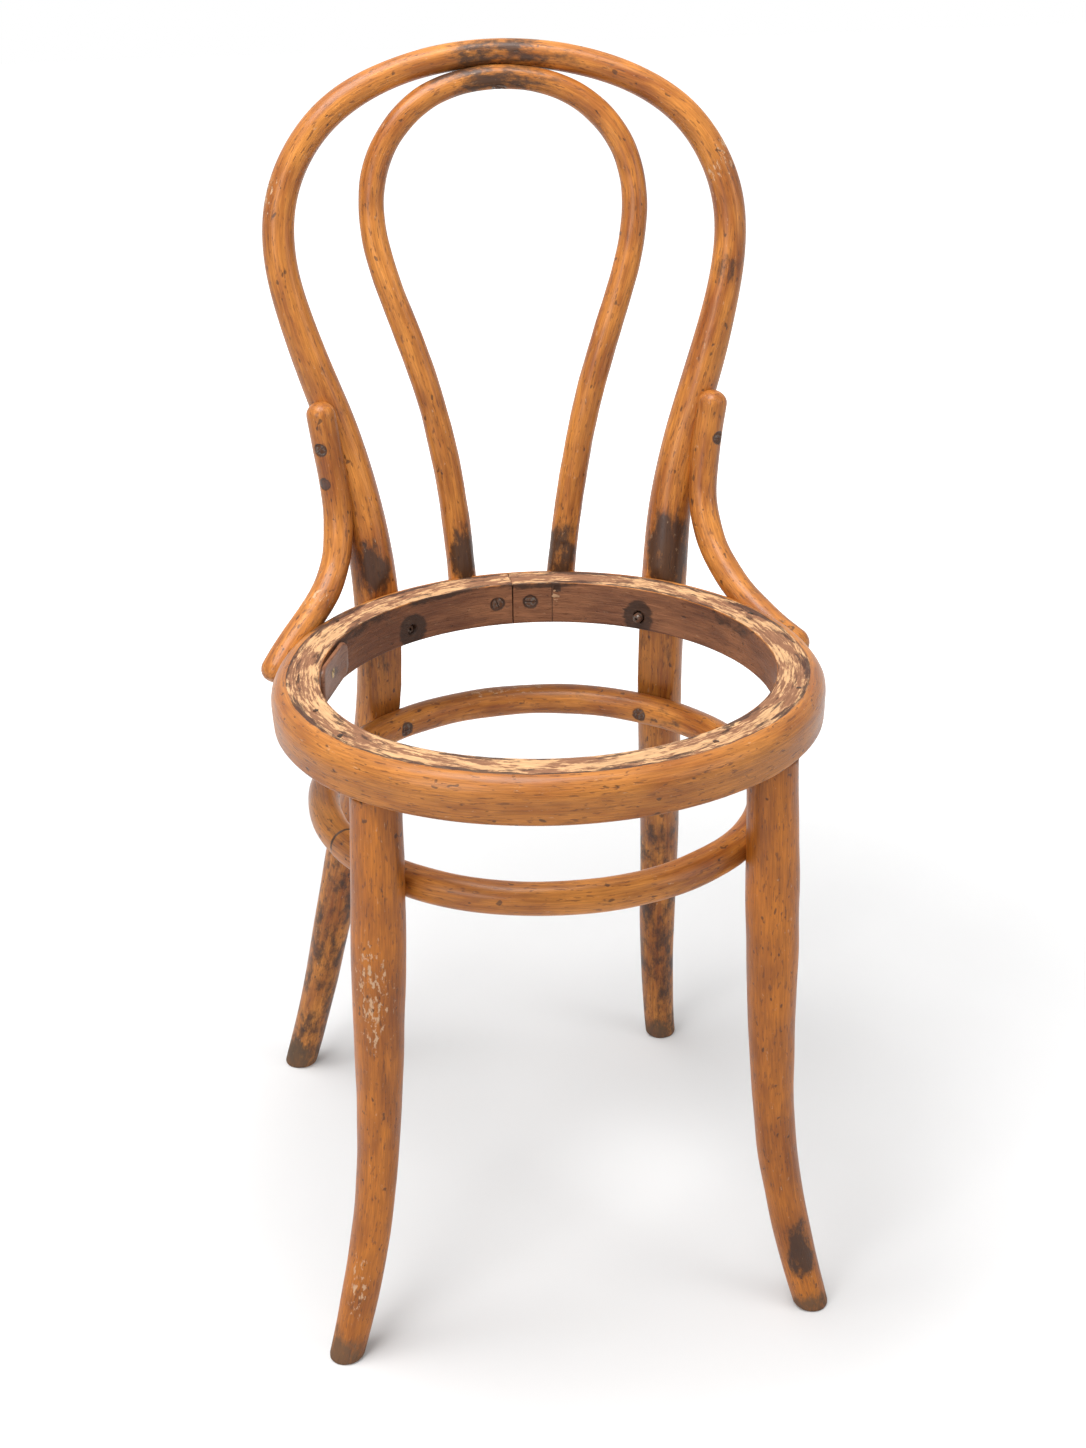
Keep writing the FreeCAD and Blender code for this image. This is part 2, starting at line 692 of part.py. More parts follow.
    def fix_loop(self):
        """Planed feet that leave the flat top free, a screw from behind in each, one at the crown."""
        for side in SIDES:
            foot = self.loop.at_height(LOOP_SCREW_HEIGHT, side)
            outward = flat_direction(foot)
            contact = at_level(outward, ring_reach(outward, RING_FLAT_WIDTH) + LOOP_FOOT_CLEARANCE, SEAT_TOP)
            planed = flat_cutter(LOOP_FLAT_HALF_HEIGHT, -2 * FLAT_HALF_WIDTH)
            planed.Placement = FreeCAD.Placement(contact, FreeCAD.Rotation(SIDEWAYS, outward))
            self.cut("inner_loop", planed)
            head = foot + outward * (self.loop.radius_at(foot) - SCREW_SINK)
            screw = wood_screw(head, outward * -1, LOOP_SCREW_LENGTH)
            self.fasten("loop_foot_screws", screw, "inner_loop", "seat_ring")
        low = self.loop.path.value(self.loop.length / 2)
        upward = (self.bow.nearest(low) - low).normalize()
        head = low - upward * (self.loop.radius_at(low) - SCREW_SINK)
        self.fasten("crown_screw", wood_screw(head, upward, CROWN_SCREW_LENGTH), "inner_loop", "back_bow")

    def fix_leg_ring(self):
        """A screw from inside into each leg, and the pins of the rod's own joint."""
        centre = vector(LEG_RING_CENTRE)
        for side in SIDES:
            front = Rod(leg_stations(side), LEG_PARTS, LEG_SIDES, BACKWARDS)
            stout = vector(LEG_STATIONS[LEG_STOUTEST])
            front_axis = front.nearest(FreeCAD.Vector(SIDES[side] * stout.x, stout.y, centre.z))
            rear_axis = self.bow.at_height(centre.z, side)
            for name, axis in (("back_bow", rear_axis), ("front_leg_" + side, front_axis)):
                outward = flat_direction(axis - centre)
                head = centre + outward * (LEG_RING_RADIUS - LEG_RING_ROD + SCREW_SINK)
                screw = wood_screw(head, outward, LEG_RING_SCREW_LENGTH)
                self.fasten("leg_ring_screws", screw, "leg_ring", name)
        for angle in PIN_ANGLES:
            outward = heading(angle)
            surface = centre + outward * (LEG_RING_RADIUS + LEG_RING_ROD)
            pin = sunk_pin(surface, outward * -1, PIN_LENGTH, PIN_RADIUS, PIN_SINK)
            self.fasten("leg_ring_pins", pin, "leg_ring")

    def seat_everything(self):
        """Cut holes and flats first, then hollow each rod where it lies on the next."""
        for side in SIDES:
            self.cut("seat_ring", leg_tenon(side))
        for name in list(self.cuts):
            self.trim(name)
        self.scribe("back_bow", "leg_ring")
        self.scribe("inner_loop", "seat_ring", "back_bow")
        for side in SIDES:
            self.scribe("front_leg_" + side, "leg_ring")
            self.scribe("brace_" + side, "seat_ring", "back_bow")

    def export(self):
        """Write each piece, or group of like pieces, as one file in the chair's own frame."""
        os.makedirs("parts", exist_ok=True)
        for name, solids in sorted(self.pieces.items()):
            bodies = [body for solid in solids for body in solid.Solids]
            shape = bodies[0] if len(bodies) == 1 else Part.makeCompound(bodies)
            shape = shape.translated(vector(ORIGIN_SHIFT))
            shape.exportStep("parts/" + name + ".step")
            print(name, len(bodies), "solids", round(shape.Volume), "mm3", shape.isValid())


chair = Chair()
chair.seat_posts()
chair.fix_braces()
chair.fix_seat_ring()
chair.fix_loop()
chair.fix_leg_ring()
chair.seat_everything()
chair.export()
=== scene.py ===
import logging
import math
from dataclasses import dataclass, field
from enum import Enum
from typing import Iterable, Sequence

import bpy
import numpy as np
from mathutils import Matrix


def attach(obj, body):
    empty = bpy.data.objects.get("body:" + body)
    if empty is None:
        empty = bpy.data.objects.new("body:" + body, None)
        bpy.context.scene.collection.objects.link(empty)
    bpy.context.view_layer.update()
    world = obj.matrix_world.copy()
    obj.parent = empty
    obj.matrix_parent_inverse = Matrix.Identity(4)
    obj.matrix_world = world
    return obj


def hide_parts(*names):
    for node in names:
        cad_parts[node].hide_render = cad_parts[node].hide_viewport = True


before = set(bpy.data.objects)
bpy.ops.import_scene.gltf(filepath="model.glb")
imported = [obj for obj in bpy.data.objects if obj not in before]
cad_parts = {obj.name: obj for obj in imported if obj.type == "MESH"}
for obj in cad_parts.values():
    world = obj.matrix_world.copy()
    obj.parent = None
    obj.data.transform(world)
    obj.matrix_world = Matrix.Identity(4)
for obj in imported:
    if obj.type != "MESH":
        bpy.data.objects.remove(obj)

# An old bentwood bistro chair without its seat panel: bent rods, turned front legs,
# a bent seat ring and the iron that holds them.  Lengths are in millimetres about the
# middle of the seat ring, and become metres in the chair's own frame in each mesh.

LOG = logging.getLogger("bistro_chair")
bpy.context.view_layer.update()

MM = 0.001
CHAIR_SHIFT = np.array([-4.9, -51.8, 0.0])
UP = np.array([0.0, 0.0, 1.0])
BACKWARDS = np.array([0.0, 1.0, 0.0])
FULL_TURN = 2.0 * math.pi

SEAT_TOP = 491.0
RING_BOTTOM = 458.0
RING_MIDDLE = 474.5
RING_BAR_WIDTH = 34.3
RING_FLAT_WIDTH = 22.5
BOLT_HEIGHT = 468.0
LEG_RING_CENTRE = np.array([0.0, 17.6, 381.8])
LEG_RING_RADIUS = 160.0
LEG_RING_ROD = 11.6
BRACE_RADIUS = 10.9
SCREW_SINK = 0.8
FLAT_HALF_WIDTH = 30.0
SOLE_ROUND = 3.0
WORN_SHARE = 0.45
SCREW_PIT_RADIUS = 4.7
SCREW_PIT_DEPTH = 0.1
FINE_HALF = 7.0
BACK_TURN_DEGREES = -2.8
BACK_CENTRE_DEPTH = 166.7
IRON_SHARP = 35.0
WASHER_RADIUS = 10.0
WASHER_THICKNESS = 1.6


class Side(Enum):
    """The two sides of the chair, as seen by someone who faces it."""

    LEFT = -1
    RIGHT = 1

    @property
    def label(self) -> str:
        """Lower-case name of the side."""
        return self.name.lower()


class Mark(Enum):
    """What age has left on the wood, each kept as a mask on the mesh; the dark mask also carries painted
    shade low on the rear legs.
    """

    DARK = "dark"
    BARE = "bare"
    GRIME = "grime"


Colour = tuple[float, float, float]

# A point on a surface and the direction into the wood
Seat = tuple[np.ndarray, np.ndarray]


# Small vector helpers

def unit(vector: np.ndarray) -> np.ndarray:
    """Vectors scaled to length one along the last axis."""
    return vector / np.linalg.norm(vector, axis=-1, keepdims=True)


def level(vector: np.ndarray) -> np.ndarray:
    """Level unit vector from the seat's centre towards a point."""
    return unit(np.array([vector[0], vector[1], 0.0]))


def heading(degrees: float) -> np.ndarray:
    """Level unit vector at an angle round the seat's centre."""
    turn = math.radians(degrees)
    return np.array([math.cos(turn), math.sin(turn), 0.0])


def ease(value: np.ndarray) -> np.ndarray:
    """Smooth step from 0 to 1 as the value goes from 0 to 1."""
    held = np.clip(value, 0.0, 1.0)
    return held * held * (3.0 - 2.0 * held)


def square_to(direction: np.ndarray, steep: float = 0.9) -> tuple[np.ndarray, np.ndarray]:
    """Two unit vectors square to a direction and to each other, the first one level.

    Args:
        direction: A unit vector.
        steep: From this upward part on, the first one is square to the depth instead.

    Returns:
        The two vectors.
    """
    helper = UP if abs(direction[2]) < steep else BACKWARDS
    across = unit(np.cross(helper, direction))
    return across, np.cross(direction, across)


def placed(axes: Sequence[np.ndarray], place: Sequence[float]) -> Matrix:
    """World matrix of a lamp or camera from its three axes and its place."""
    matrix = np.eye(4)
    matrix[:3, :3] = np.column_stack(axes)
    matrix[:3, 3] = place
    return Matrix(matrix.tolist())


# Smooth lines and surfaces

@dataclass
class BentLine:
    """Centre line and radius of a rod along its length, as smooth cubic curves."""

    stations: np.ndarray
    tip: float = 0.0

    def __post_init__(self) -> None:
        """Work out the slopes at the stations.

        The slopes make the curvature continuous.  At both ends the slope is that of
        the cubic through the first or last four stations.
        """
        steps = np.linalg.norm(np.diff(self.stations[:, :3], axis=0), axis=1)
        self.knots = np.concatenate([[0.0], np.cumsum(steps)])
        self.length = float(self.knots[-1])
        count = len(steps) + 1
        system = np.zeros((count, count))
        goal = np.zeros((count, 4))
        inverse = 1.0 / steps
        rise = np.diff(self.stations, axis=0) * (inverse ** 2)[:, None]
        inner = np.arange(1, count - 1)
        system[inner, inner - 1] = inverse[:-1]
        system[inner, inner] = 2.0 * (inverse[:-1] + inverse[1:])
        system[inner, inner + 1] = inverse[1:]
        goal[inner] = 3.0 * (rise[:-1] + rise[1:])
        for end, four in ((0, slice(0, 4)), (count - 1, slice(count - 4, count))):
            system[end, end] = 1.0
            powers = np.vander(self.knots[four] - self.knots[end], increasing=True)
            goal[end] = np.linalg.solve(powers, self.stations[four])[1]
        self.slopes = np.linalg.solve(system, goal)
        self.fine = np.linspace(0.0, self.length, 4001)
        self.fine_points = self.at(self.fine)[0]

    def at(self, marks: np.ndarray) -> tuple[np.ndarray, np.ndarray, np.ndarray]:
        """Centres, unit tangents and radii at places along the rod.

        Args:
            marks: Distances along the rod in millimetres.

        Returns:
            Centres, tangents and radii; the radius shrinks as an ellipse within the tips.
        """
        marks = np.atleast_1d(np.asarray(marks, dtype=float))
        span = np.clip(np.searchsorted(self.knots, marks, side="right") - 1, 0, len(self.knots) - 2)
        width = self.knots[span + 1] - self.knots[span]
        share = ((marks - self.knots[span]) / width)[:, None]
        low, high = self.stations[span], self.stations[span + 1]
        low_slope = self.slopes[span] * width[:, None]
        high_slope = self.slopes[span + 1] * width[:, None]
        value = (
            low * (1 + 2 * share) * (1 - share) ** 2 + low_slope * share * (1 - share) ** 2
            + high * share ** 2 * (3 - 2 * share) + high_slope * share ** 2 * (share - 1)
        )
        rate = (
            (high - low) * 6 * share * (1 - share)
            + low_slope * (1 - share) * (1 - 3 * share) + high_slope * share * (3 * share - 2)
        )
        radii = value[:, 3]
        if self.tip:
            gap = np.clip(np.minimum(marks, self.length - marks) / self.tip, 0.0, 1.0)
            radii = radii * np.sqrt(np.clip(1.0 - (1.0 - gap) ** 2, 0.0, 1.0))
        return value[:, :3], unit(rate[:, :3]), radii

    def point(self, mark: float) -> np.ndarray:
        """Centre at one place along the rod."""
        return self.at(np.array([mark]))[0][0]

    def nearest(self, point: np.ndarray) -> float:
        """Place along the rod whose centre is nearest to a point."""
        return float(self.fine[np.argmin(np.linalg.norm(self.fine_points - point, axis=1))])

    def at_height(self, height: float, side: Side) -> float:
        """Place where one side of a bow passes a height."""
        half = len(self.fine) // 2
        if side is Side.LEFT:
            return float(np.interp(height, self.fine_points[:half, 2], self.fine[:half]))
        return float(np.interp(height, self.fine_points[:half:-1, 2], self.fine[:half:-1]))


@dataclass(frozen=True)
class Unevenness:
    """Shallow waves that hand work, bending and wear leave on wood."""

    depth: float
    across: float
    along: float
    seed: int
    waves: int = 24

    def height(self, grain: np.ndarray) -> np.ndarray:
        """Height of the waves at grain coordinates.

        The height is the mean of sine waves in seeded directions, whose lengths are set
        apart across and along the grain, brought back to the given depth.

        Args:
            grain: Places across, across and along the grain, in millimetres.

        Returns:
            Heights in millimetres, about plus or minus the depth.
        """
        rng = np.random.default_rng(self.seed)
        directions = rng.normal(size=(3, self.waves))
        directions *= (FULL_TURN / np.array([self.across, self.across, self.along]))[:, None]
        offsets = rng.uniform(0.0, FULL_TURN, self.waves)
        total = np.sin(grain @ directions + offsets).sum(axis=-1)
        return self.depth * total / math.sqrt(self.waves)


@dataclass(frozen=True)
class Stain:
    """A soft-edged place where age has changed the wood."""

    mark: Mark
    centre: tuple[float, float, float]
    reach: tuple[float, float, float]
    strength: float = 1.0

    def mask(self, points: np.ndarray) -> np.ndarray:
        """Strength at points: full in the middle, easing to nothing at the reach."""
        gap = np.linalg.norm((points - np.array(self.centre)) / np.array(self.reach), axis=-1)
        return self.strength * ease(1.5 * (1.0 - gap))


def masks_at(points: np.ndarray, stains: Iterable[Stain]) -> dict[str, np.ndarray]:
    """Masks of all marks at points, each the strongest of its stains."""
    masks = {mark.value: np.zeros(points.shape[:-1]) for mark in Mark}
    for stain in stains:
        name = stain.mark.value
        masks[name] = np.maximum(masks[name], stain.mask(points))
    return masks


@dataclass(frozen=True)
class Flat:
    """A plane that was planed on a round piece."""

    contact: np.ndarray
    outward: np.ndarray
    half_height: float
    run_out: float = 12.0

    def plane(self, points: np.ndarray) -> np.ndarray:
        """Points moved out to the plane where they stood inside it, easing off at its ends."""
        offset = points - self.contact
        inside = offset @ self.outward
        past_end = np.abs(offset[..., 2]) - (self.half_height - self.run_out)
        floor = -ease(past_end / self.run_out) * 2 * self.run_out
        lift = np.clip(floor - inside, 0.0, None)
        near = np.abs(offset[..., 2]) < self.half_height
        near &= np.abs(np.cross(offset, self.outward)[..., 2]) < FLAT_HALF_WIDTH
        return points + (lift * near)[..., None] * self.outward


@dataclass(frozen=True)
class Pit:
    """A round sunk place with an axis, such as a countersink or an empty hole."""

    point: np.ndarray
    inward: np.ndarray
    radius: float
    depth: float
    edge: float = 0.5

    def distances(self, points: np.ndarray) -> tuple[np.ndarray, np.ndarray]:
        """Distance from the axis, and how far each point lies beyond the pit's mouth."""
        offset = points - self.point
        along = offset @ self.inward
        around = np.linalg.norm(offset - along[..., None] * self.inward, axis=-1)
        return around, along

    def sink(self, points: np.ndarray) -> np.ndarray:
        """Points within the radius pushed in until they reach the pit's floor."""
        around, along = self.distances(points)
        share = ease((self.radius + self.edge - around) / self.edge)
        near = np.abs(along) < self.radius + 2.0
        push = np.clip(self.depth - along, 0.0, None) * share * near
        return points + push[..., None] * self.inward

    def shade(self, points: np.ndarray, rim: float) -> np.ndarray:
        """Mask that is 1 in the pit and fades over the rim's width."""
        around, along = self.distances(points)
        near = np.abs(along) < self.radius + 4.0
        return ease((self.radius + rim - around) / rim) * near


def sunk(points: np.ndarray, pits: Iterable[Pit], rim: float) -> tuple[np.ndarray, np.ndarray]:
    """Points sunk into several pits, and the dark mask of the pits and their rims."""
    dark = np.zeros(points.shape[:-1])
    for pit in pits:
        points = pit.sink(points)
        dark = np.maximum(dark, pit.shade(points, rim))
    return points, dark


def screw_pits(seats: Iterable[Seat], radius: float = SCREW_PIT_RADIUS) -> list[Pit]:
    """The countersinks of screws."""
    return [Pit(head, inward, radius, SCREW_PIT_DEPTH) for head, inward in seats]


def grain_grid(section: np.ndarray, lengths: np.ndarray) -> np.ndarray:
    """Grain coordinates of a grid: its section's two, and the length along each row's rod."""
    along = np.broadcast_to(lengths[:, None, None], section.shape[:2] + (1,))
    return np.concatenate([section, along], axis=-1)


def wood_values(points: np.ndarray, grain: np.ndarray, stains: Iterable[Stain],
                dark: np.ndarray | float = 0.0) -> dict[str, np.ndarray]:
    """What the wood finishes read: the stains' masks, with more darkness, and the grain in metres."""
    values = masks_at(points, stains)
    values[Mark.DARK.value] = np.maximum(values[Mark.DARK.value], dark)
    values["grain"] = grain * MM
    return values


# Meshes

@dataclass
class Shell:
    """Points and faces of a surface, with the values that its material reads."""

    points: np.ndarray
    faces: list[np.ndarray]
    values: dict[str, np.ndarray] = field(default_factory=dict)

    def joined(self, other: "Shell") -> "Shell":
        """This shell and another as one; values that one of them lacks are zero there."""
        shift = len(self.points)
        values = {}
        for name in set(self.values) | set(other.values):
            halves = []
            for shell in (self, other):
                model = self.values.get(name, other.values.get(name))
                blank = np.zeros((len(shell.points),) + model.shape[1:])
                halves.append(shell.values.get(name, blank))
            values[name] = np.concatenate(halves)
        faces = self.faces + [face + shift for face in other.faces]
        return Shell(np.concatenate([self.points, other.points]), faces, values)


def grid_quads(rows: int, columns: int, closed_rows: bool = False) -> np.ndarray:
    """Four corners of each cell of a grid whose columns close on themselves.

    Args:
        rows: Number of rows.
        columns: Number of points in a row; the last is joined to the first.
        closed_rows: Whether the last row is joined to the first too.

    Returns:
        Array of corner numbers, one cell a line.
    """
    index = np.arange(rows * columns).reshape(rows, columns)
    after = np.roll(index, -1, axis=1)
    low, low_after = index[:-1], after[:-1]
    high, high_after = index[1:], after[1:]
    if closed_rows:
        low, low_after = index, after
        high, high_after = np.roll(index, -1, axis=0), np.roll(after, -1, axis=0)
    return np.stack([low, low_after, high_after, high], axis=-1).reshape(-1, 4)


def joined_all(shells: Sequence[Shell]) -> Shell:
    """Several shells as one."""
    whole = shells[0]
    for shell in shells[1:]:
        whole = whole.joined(shell)
    return whole


def endless_tube(grid: np.ndarray, values: dict[str, np.ndarray]) -> Shell:
    """Closed surface over a grid of rings whose last ring is joined to the first."""
    rows, columns = grid.shape[:2]
    flat = {name: value.reshape((rows * columns,) + value.shape[2:]) for name, value in values.items()}
    return Shell(grid.reshape(-1, 3), [grid_quads(rows, columns, True)], flat)


def closed_tube(grid: np.ndarray, values: dict[str, np.ndarray]) -> Shell:
    """Closed surface over a grid of rings, with a middle point on both ends.

    Args:
        grid: Rings of points, one ring a row.
        values: Values on the same grid.

    Returns:
        The shell; each end's middle is the mean of its ring.
    """
    rows, columns = grid.shape[:2]
    points = np.concatenate([grid.reshape(-1, 3), [grid[0].mean(axis=0)], [grid[-1].mean(axis=0)]])
    first = np.arange(columns)
    last = first + (rows - 1) * columns
    start, end = rows * columns, rows * columns + 1
    start_fan = np.stack([np.roll(first, -1), first, np.full(columns, start)], axis=-1)
    end_fan = np.stack([last, np.roll(last, -1), np.full(columns, end)], axis=-1)
    kept = {}
    for name, value in values.items():
        flat = value.reshape((rows * columns,) + value.shape[2:])
        ends = [value[0].mean(axis=0)[None], value[-1].mean(axis=0)[None]]
        kept[name] = np.concatenate([flat] + ends)
    return Shell(points, [grid_quads(rows, columns), start_fan, end_fan], kept)


def signed_volume(points: np.ndarray, faces: Iterable[np.ndarray]) -> float:
    """Volume inside the faces; it is below nothing when they point inwards."""
    total = 0.0
    for corners in faces:
        for k in range(1, corners.shape[1] - 1):
            a, b, c = points[corners[:, 0]], points[corners[:, k]], points[corners[:, k + 1]]
            total += float(np.einsum("ij,ij->", a, np.cross(b, c)))
    return total / 6.0


def make_piece(name: str, shell: Shell, material: bpy.types.Material, nodes: Sequence[str],
               sharp_degrees: float = 0.0) -> bpy.types.Object:
    """Turn a shell into a piece that stands for CAD nodes.

    Args:
        name: The piece's name.
        shell: Its surface in millimetres about the seat's centre.
        material: Its finish.
        nodes: The CAD nodes that it replaces.
        sharp_degrees: Edges sharper than this stay sharp; 0 keeps all smooth.

    Returns:
        The new object.
    """
    points = (shell.points + CHAIR_SHIFT) * MM
    faces = shell.faces
    if signed_volume(points - points.mean(axis=0), faces) < 0:
        faces = [corners[:, ::-1] for corners in faces]
    mesh = bpy.data.meshes.new(name)
    mesh.vertices.add(len(points))
    mesh.vertices.foreach_set("co", points.astype(np.float32).ravel())
    corners = np.concatenate([group.ravel() for group in faces])
    sizes = np.concatenate([np.full(len(group), group.shape[1]) for group in faces])
    mesh.loops.add(len(corners))
    mesh.loops.foreach_set("vertex_index", corners.astype(np.int32))
    mesh.polygons.add(len(sizes))
    starts = np.concatenate([[0], np.cumsum(sizes)[:-1]])
    mesh.polygons.foreach_set("loop_start", starts.astype(np.int32))
    mesh.polygons.foreach_set("use_smooth", np.ones(len(sizes), dtype=bool))
    for label, value in shell.values.items():
        kind = "FLOAT_VECTOR" if value.ndim == 2 else "FLOAT"
        part = "vector" if value.ndim == 2 else "value"
        layer = mesh.attributes.new(label, kind, "POINT")
        layer.data.foreach_set(part, value.astype(np.float32).ravel())
    mesh.update(calc_edges=True)
    mesh.validate()
    if sharp_degrees:
        mesh.set_sharp_from_angle(angle=math.radians(sharp_degrees))
    mesh.materials.append(material)
    piece = bpy.data.objects.new(name, mesh)
    bpy.context.scene.collection.objects.link(piece)
    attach(piece, "root")
    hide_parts(*nodes)
    LOG.info("%s: %d points, %d faces", name, len(points), len(sizes))
    return piece


def spaced(length: float, step: float, fine: Iterable[tuple[float, float]] = (),
           fine_step: float = 0.6) -> np.ndarray:
    """Places from 0 to a length, closer together round some of them.

    Args:
        length: The last place.
        step: The usual gap.
        fine: Middle and half width of each stretch that needs smaller gaps.
        fine_step: The gap there.

    Returns:
        Rising places, with both ends among them.
    """
    places = np.linspace(0.0, length, max(2, round(length / step) + 1))
    for middle, half in fine:
        low, high = max(0.0, middle - half), min(length, middle + half)
        keep = (places < low) | (places > high)
        places = np.concatenate([places[keep], np.arange(low, high, fine_step)])
    places = np.sort(places)
    keep = np.concatenate([[True], np.diff(places) > fine_step / 3])
    places = places[keep]
    places[-1] = length
    return places


@dataclass
class RodSurface:
    """The skin of a round rod carried along its line."""

    line: BentLine
    reference: np.ndarray
    grain_start: float
    uneven: Unevenness

    def rings(self, marks: np.ndarray, turns: np.ndarray) -> tuple[np.ndarray, np.ndarray]:
        """Rings of points and their grain coordinates.

        A point is the centre plus the radius times cosine and sine of the turn along two
        directions square to the line.  The radius grows by the unevenness.

        Args:
            marks: Places of the rings along the rod.
            turns: Angles round the rod in radians.

        Returns:
            Points and grain coordinates in millimetres, one ring a row.
        """
        centres, along, radii = self.line.at(marks)
        across = unit(self.reference - along * (along @ self.reference)[:, None])
        beside = np.cross(along, across)
        spin = np.stack([np.cos(turns), np.sin(turns)])
        section = radii[:, None, None] * spin.T[None]
        grain = grain_grid(section, marks + self.grain_start)
        fade = np.clip(radii / radii.max() * 2.0 - 0.4, 0.0, 1.0)[:, None]
        factor = 1.0 + fade * self.uneven.height(grain) / np.maximum(radii, 1.0)[:, None]
        swollen = section * factor[..., None]
        points = centres[:, None] + swollen[..., :1] * across[:, None] + swollen[..., 1:] * beside[:, None]
        return points, grain

    def stand(self, points: np.ndarray, marks: np.ndarray) -> np.ndarray:
        """Points below the floor slid up along the rod, with the sole's edge worn round."""
        centres, along, _ = self.line.at(marks)
        height = points[..., 2]
        slide = np.where(height < 0.0, -height, 0.0) / along[:, None, 2]
        points = points + slide[..., None] * along[:, None]
        worn = np.clip(1.0 - points[..., 2] / SOLE_ROUND, 0.0, 1.0) ** 2 * SOLE_ROUND * WORN_SHARE
        towards = centres[:, None] - points
        towards[..., 2] = 0.0
        distance = np.maximum(np.linalg.norm(towards, axis=-1, keepdims=True), 1e-6)
        return points + towards / distance * np.minimum(worn[..., None], distance)


def soles_kept(points: np.ndarray) -> np.ndarray:
    """Which rings are kept: all that reach above the floor, and the next one at each foot."""
    above = points[..., 2].max(axis=1) > 0.0
    return above | np.roll(above, 1) | np.roll(above, -1)


def even_turns(count: int, fine: Iterable[float] = (), half: float = 0.5,
               step: float = 0.06) -> np.ndarray:
    """Angles round a rod, closer together round some of them."""
    turns = np.linspace(0.0, FULL_TURN, count, endpoint=False)
    for middle in fine:
        middle = middle % FULL_TURN
        apart = np.abs((turns - middle + math.pi) % FULL_TURN - math.pi)
        close = (middle + np.arange(-half, half, step)) % FULL_TURN
        turns = np.concatenate([turns[apart > half + step / 2], close])
    return np.sort(turns)


def turned_shell(profile: Sequence[tuple[float, float]], point: np.ndarray, direction: np.ndarray,
                 sides: int = 32) -> Shell:
    """Turned piece: rings of radius and distance along an axis from a point."""
    rows = np.array(profile)
    turns = np.linspace(0.0, FULL_TURN, sides, endpoint=False)
    across, beside = square_to(direction)
    ring = np.cos(turns)[:, None] * across + np.sin(turns)[:, None] * beside
    grid = point + rows[:, 1, None, None] * direction + rows[:, 0, None, None] * ring[None]
    return closed_tube(grid, {})


def open_quads(index: np.ndarray) -> np.ndarray:
    """Four corners of each cell of a grid of point numbers."""
    cells = np.stack([index[:-1, :-1], index[1:, :-1], index[1:, 1:], index[:-1, 1:]], axis=-1)
    return cells.reshape(-1, 4)


def slotted_screw(point: np.ndarray, direction: np.ndarray, length: float, slot_degrees: float,
                  radius: float = 4.4) -> Shell:
    """Countersunk screw with a straight slot, its head's rim at a point.

    The head's top is a height over lines across the disc: a low crown, dropped to the
    slot's floor between two doubled lines.  Its underside is the countersunk cone.

    Args:
        point: The middle of the head's top.
        direction: The way into the wood.
        length: The screw's length.
        slot_degrees: How the slot is turned.
        radius: The head's radius.

    Returns:
        Head and shank as one shell.
    """
    slot_half, slot_depth, head_depth, crown = 0.55, 1.1, 3.0, 0.35
    shank, shank_start, point_length, point_radius = 2.3, 1.8, 5.0, 0.4
    beyond = np.linspace(slot_half, radius, 9)
    lines = np.concatenate([-beyond[::-1], [-slot_half, slot_half], beyond])
    in_slot = np.zeros(len(lines), dtype=bool)
    in_slot[len(beyond):len(beyond) + 2] = True
    shares = np.linspace(-1.0, 1.0, 17)
    x = np.broadcast_to(lines[:, None], (len(lines), len(shares)))
    y = shares[None] * np.sqrt(np.clip(radius ** 2 - lines ** 2, 0.0, None))[:, None]
    apart = np.clip(np.hypot(x, y) / radius, 0.0, 1.0)
    top = np.where(in_slot[:, None], slot_depth, -crown * (1.0 - apart ** 2))
    under = np.maximum(head_depth * (1.0 - apart), np.where(in_slot[:, None], slot_depth, 0.0))
    spin = math.radians(slot_degrees)
    across, beside = square_to(direction)
    first = math.cos(spin) * across + math.sin(spin) * beside
    second = np.cross(direction, first)
    plan = x[..., None] * first + y[..., None] * second
    sheets = [point + plan + depth[..., None] * direction for depth in (top, under)]
    rows, columns = x.shape
    index = np.arange(rows * columns).reshape(rows, columns)
    lower = index + rows * columns
    lower[:, [0, -1]] = index[:, [0, -1]]
    lower[[0, -1]] = index[[0, -1]]
    head = Shell(np.concatenate([sheet.reshape(-1, 3) for sheet in sheets]),
                 [open_quads(index), open_quads(lower)[:, ::-1]])
    profile = [(shank, shank_start), (shank, length - point_length), (point_radius, length)]
    return head.joined(turned_shell(profile, point, direction, 16))


# Finishes

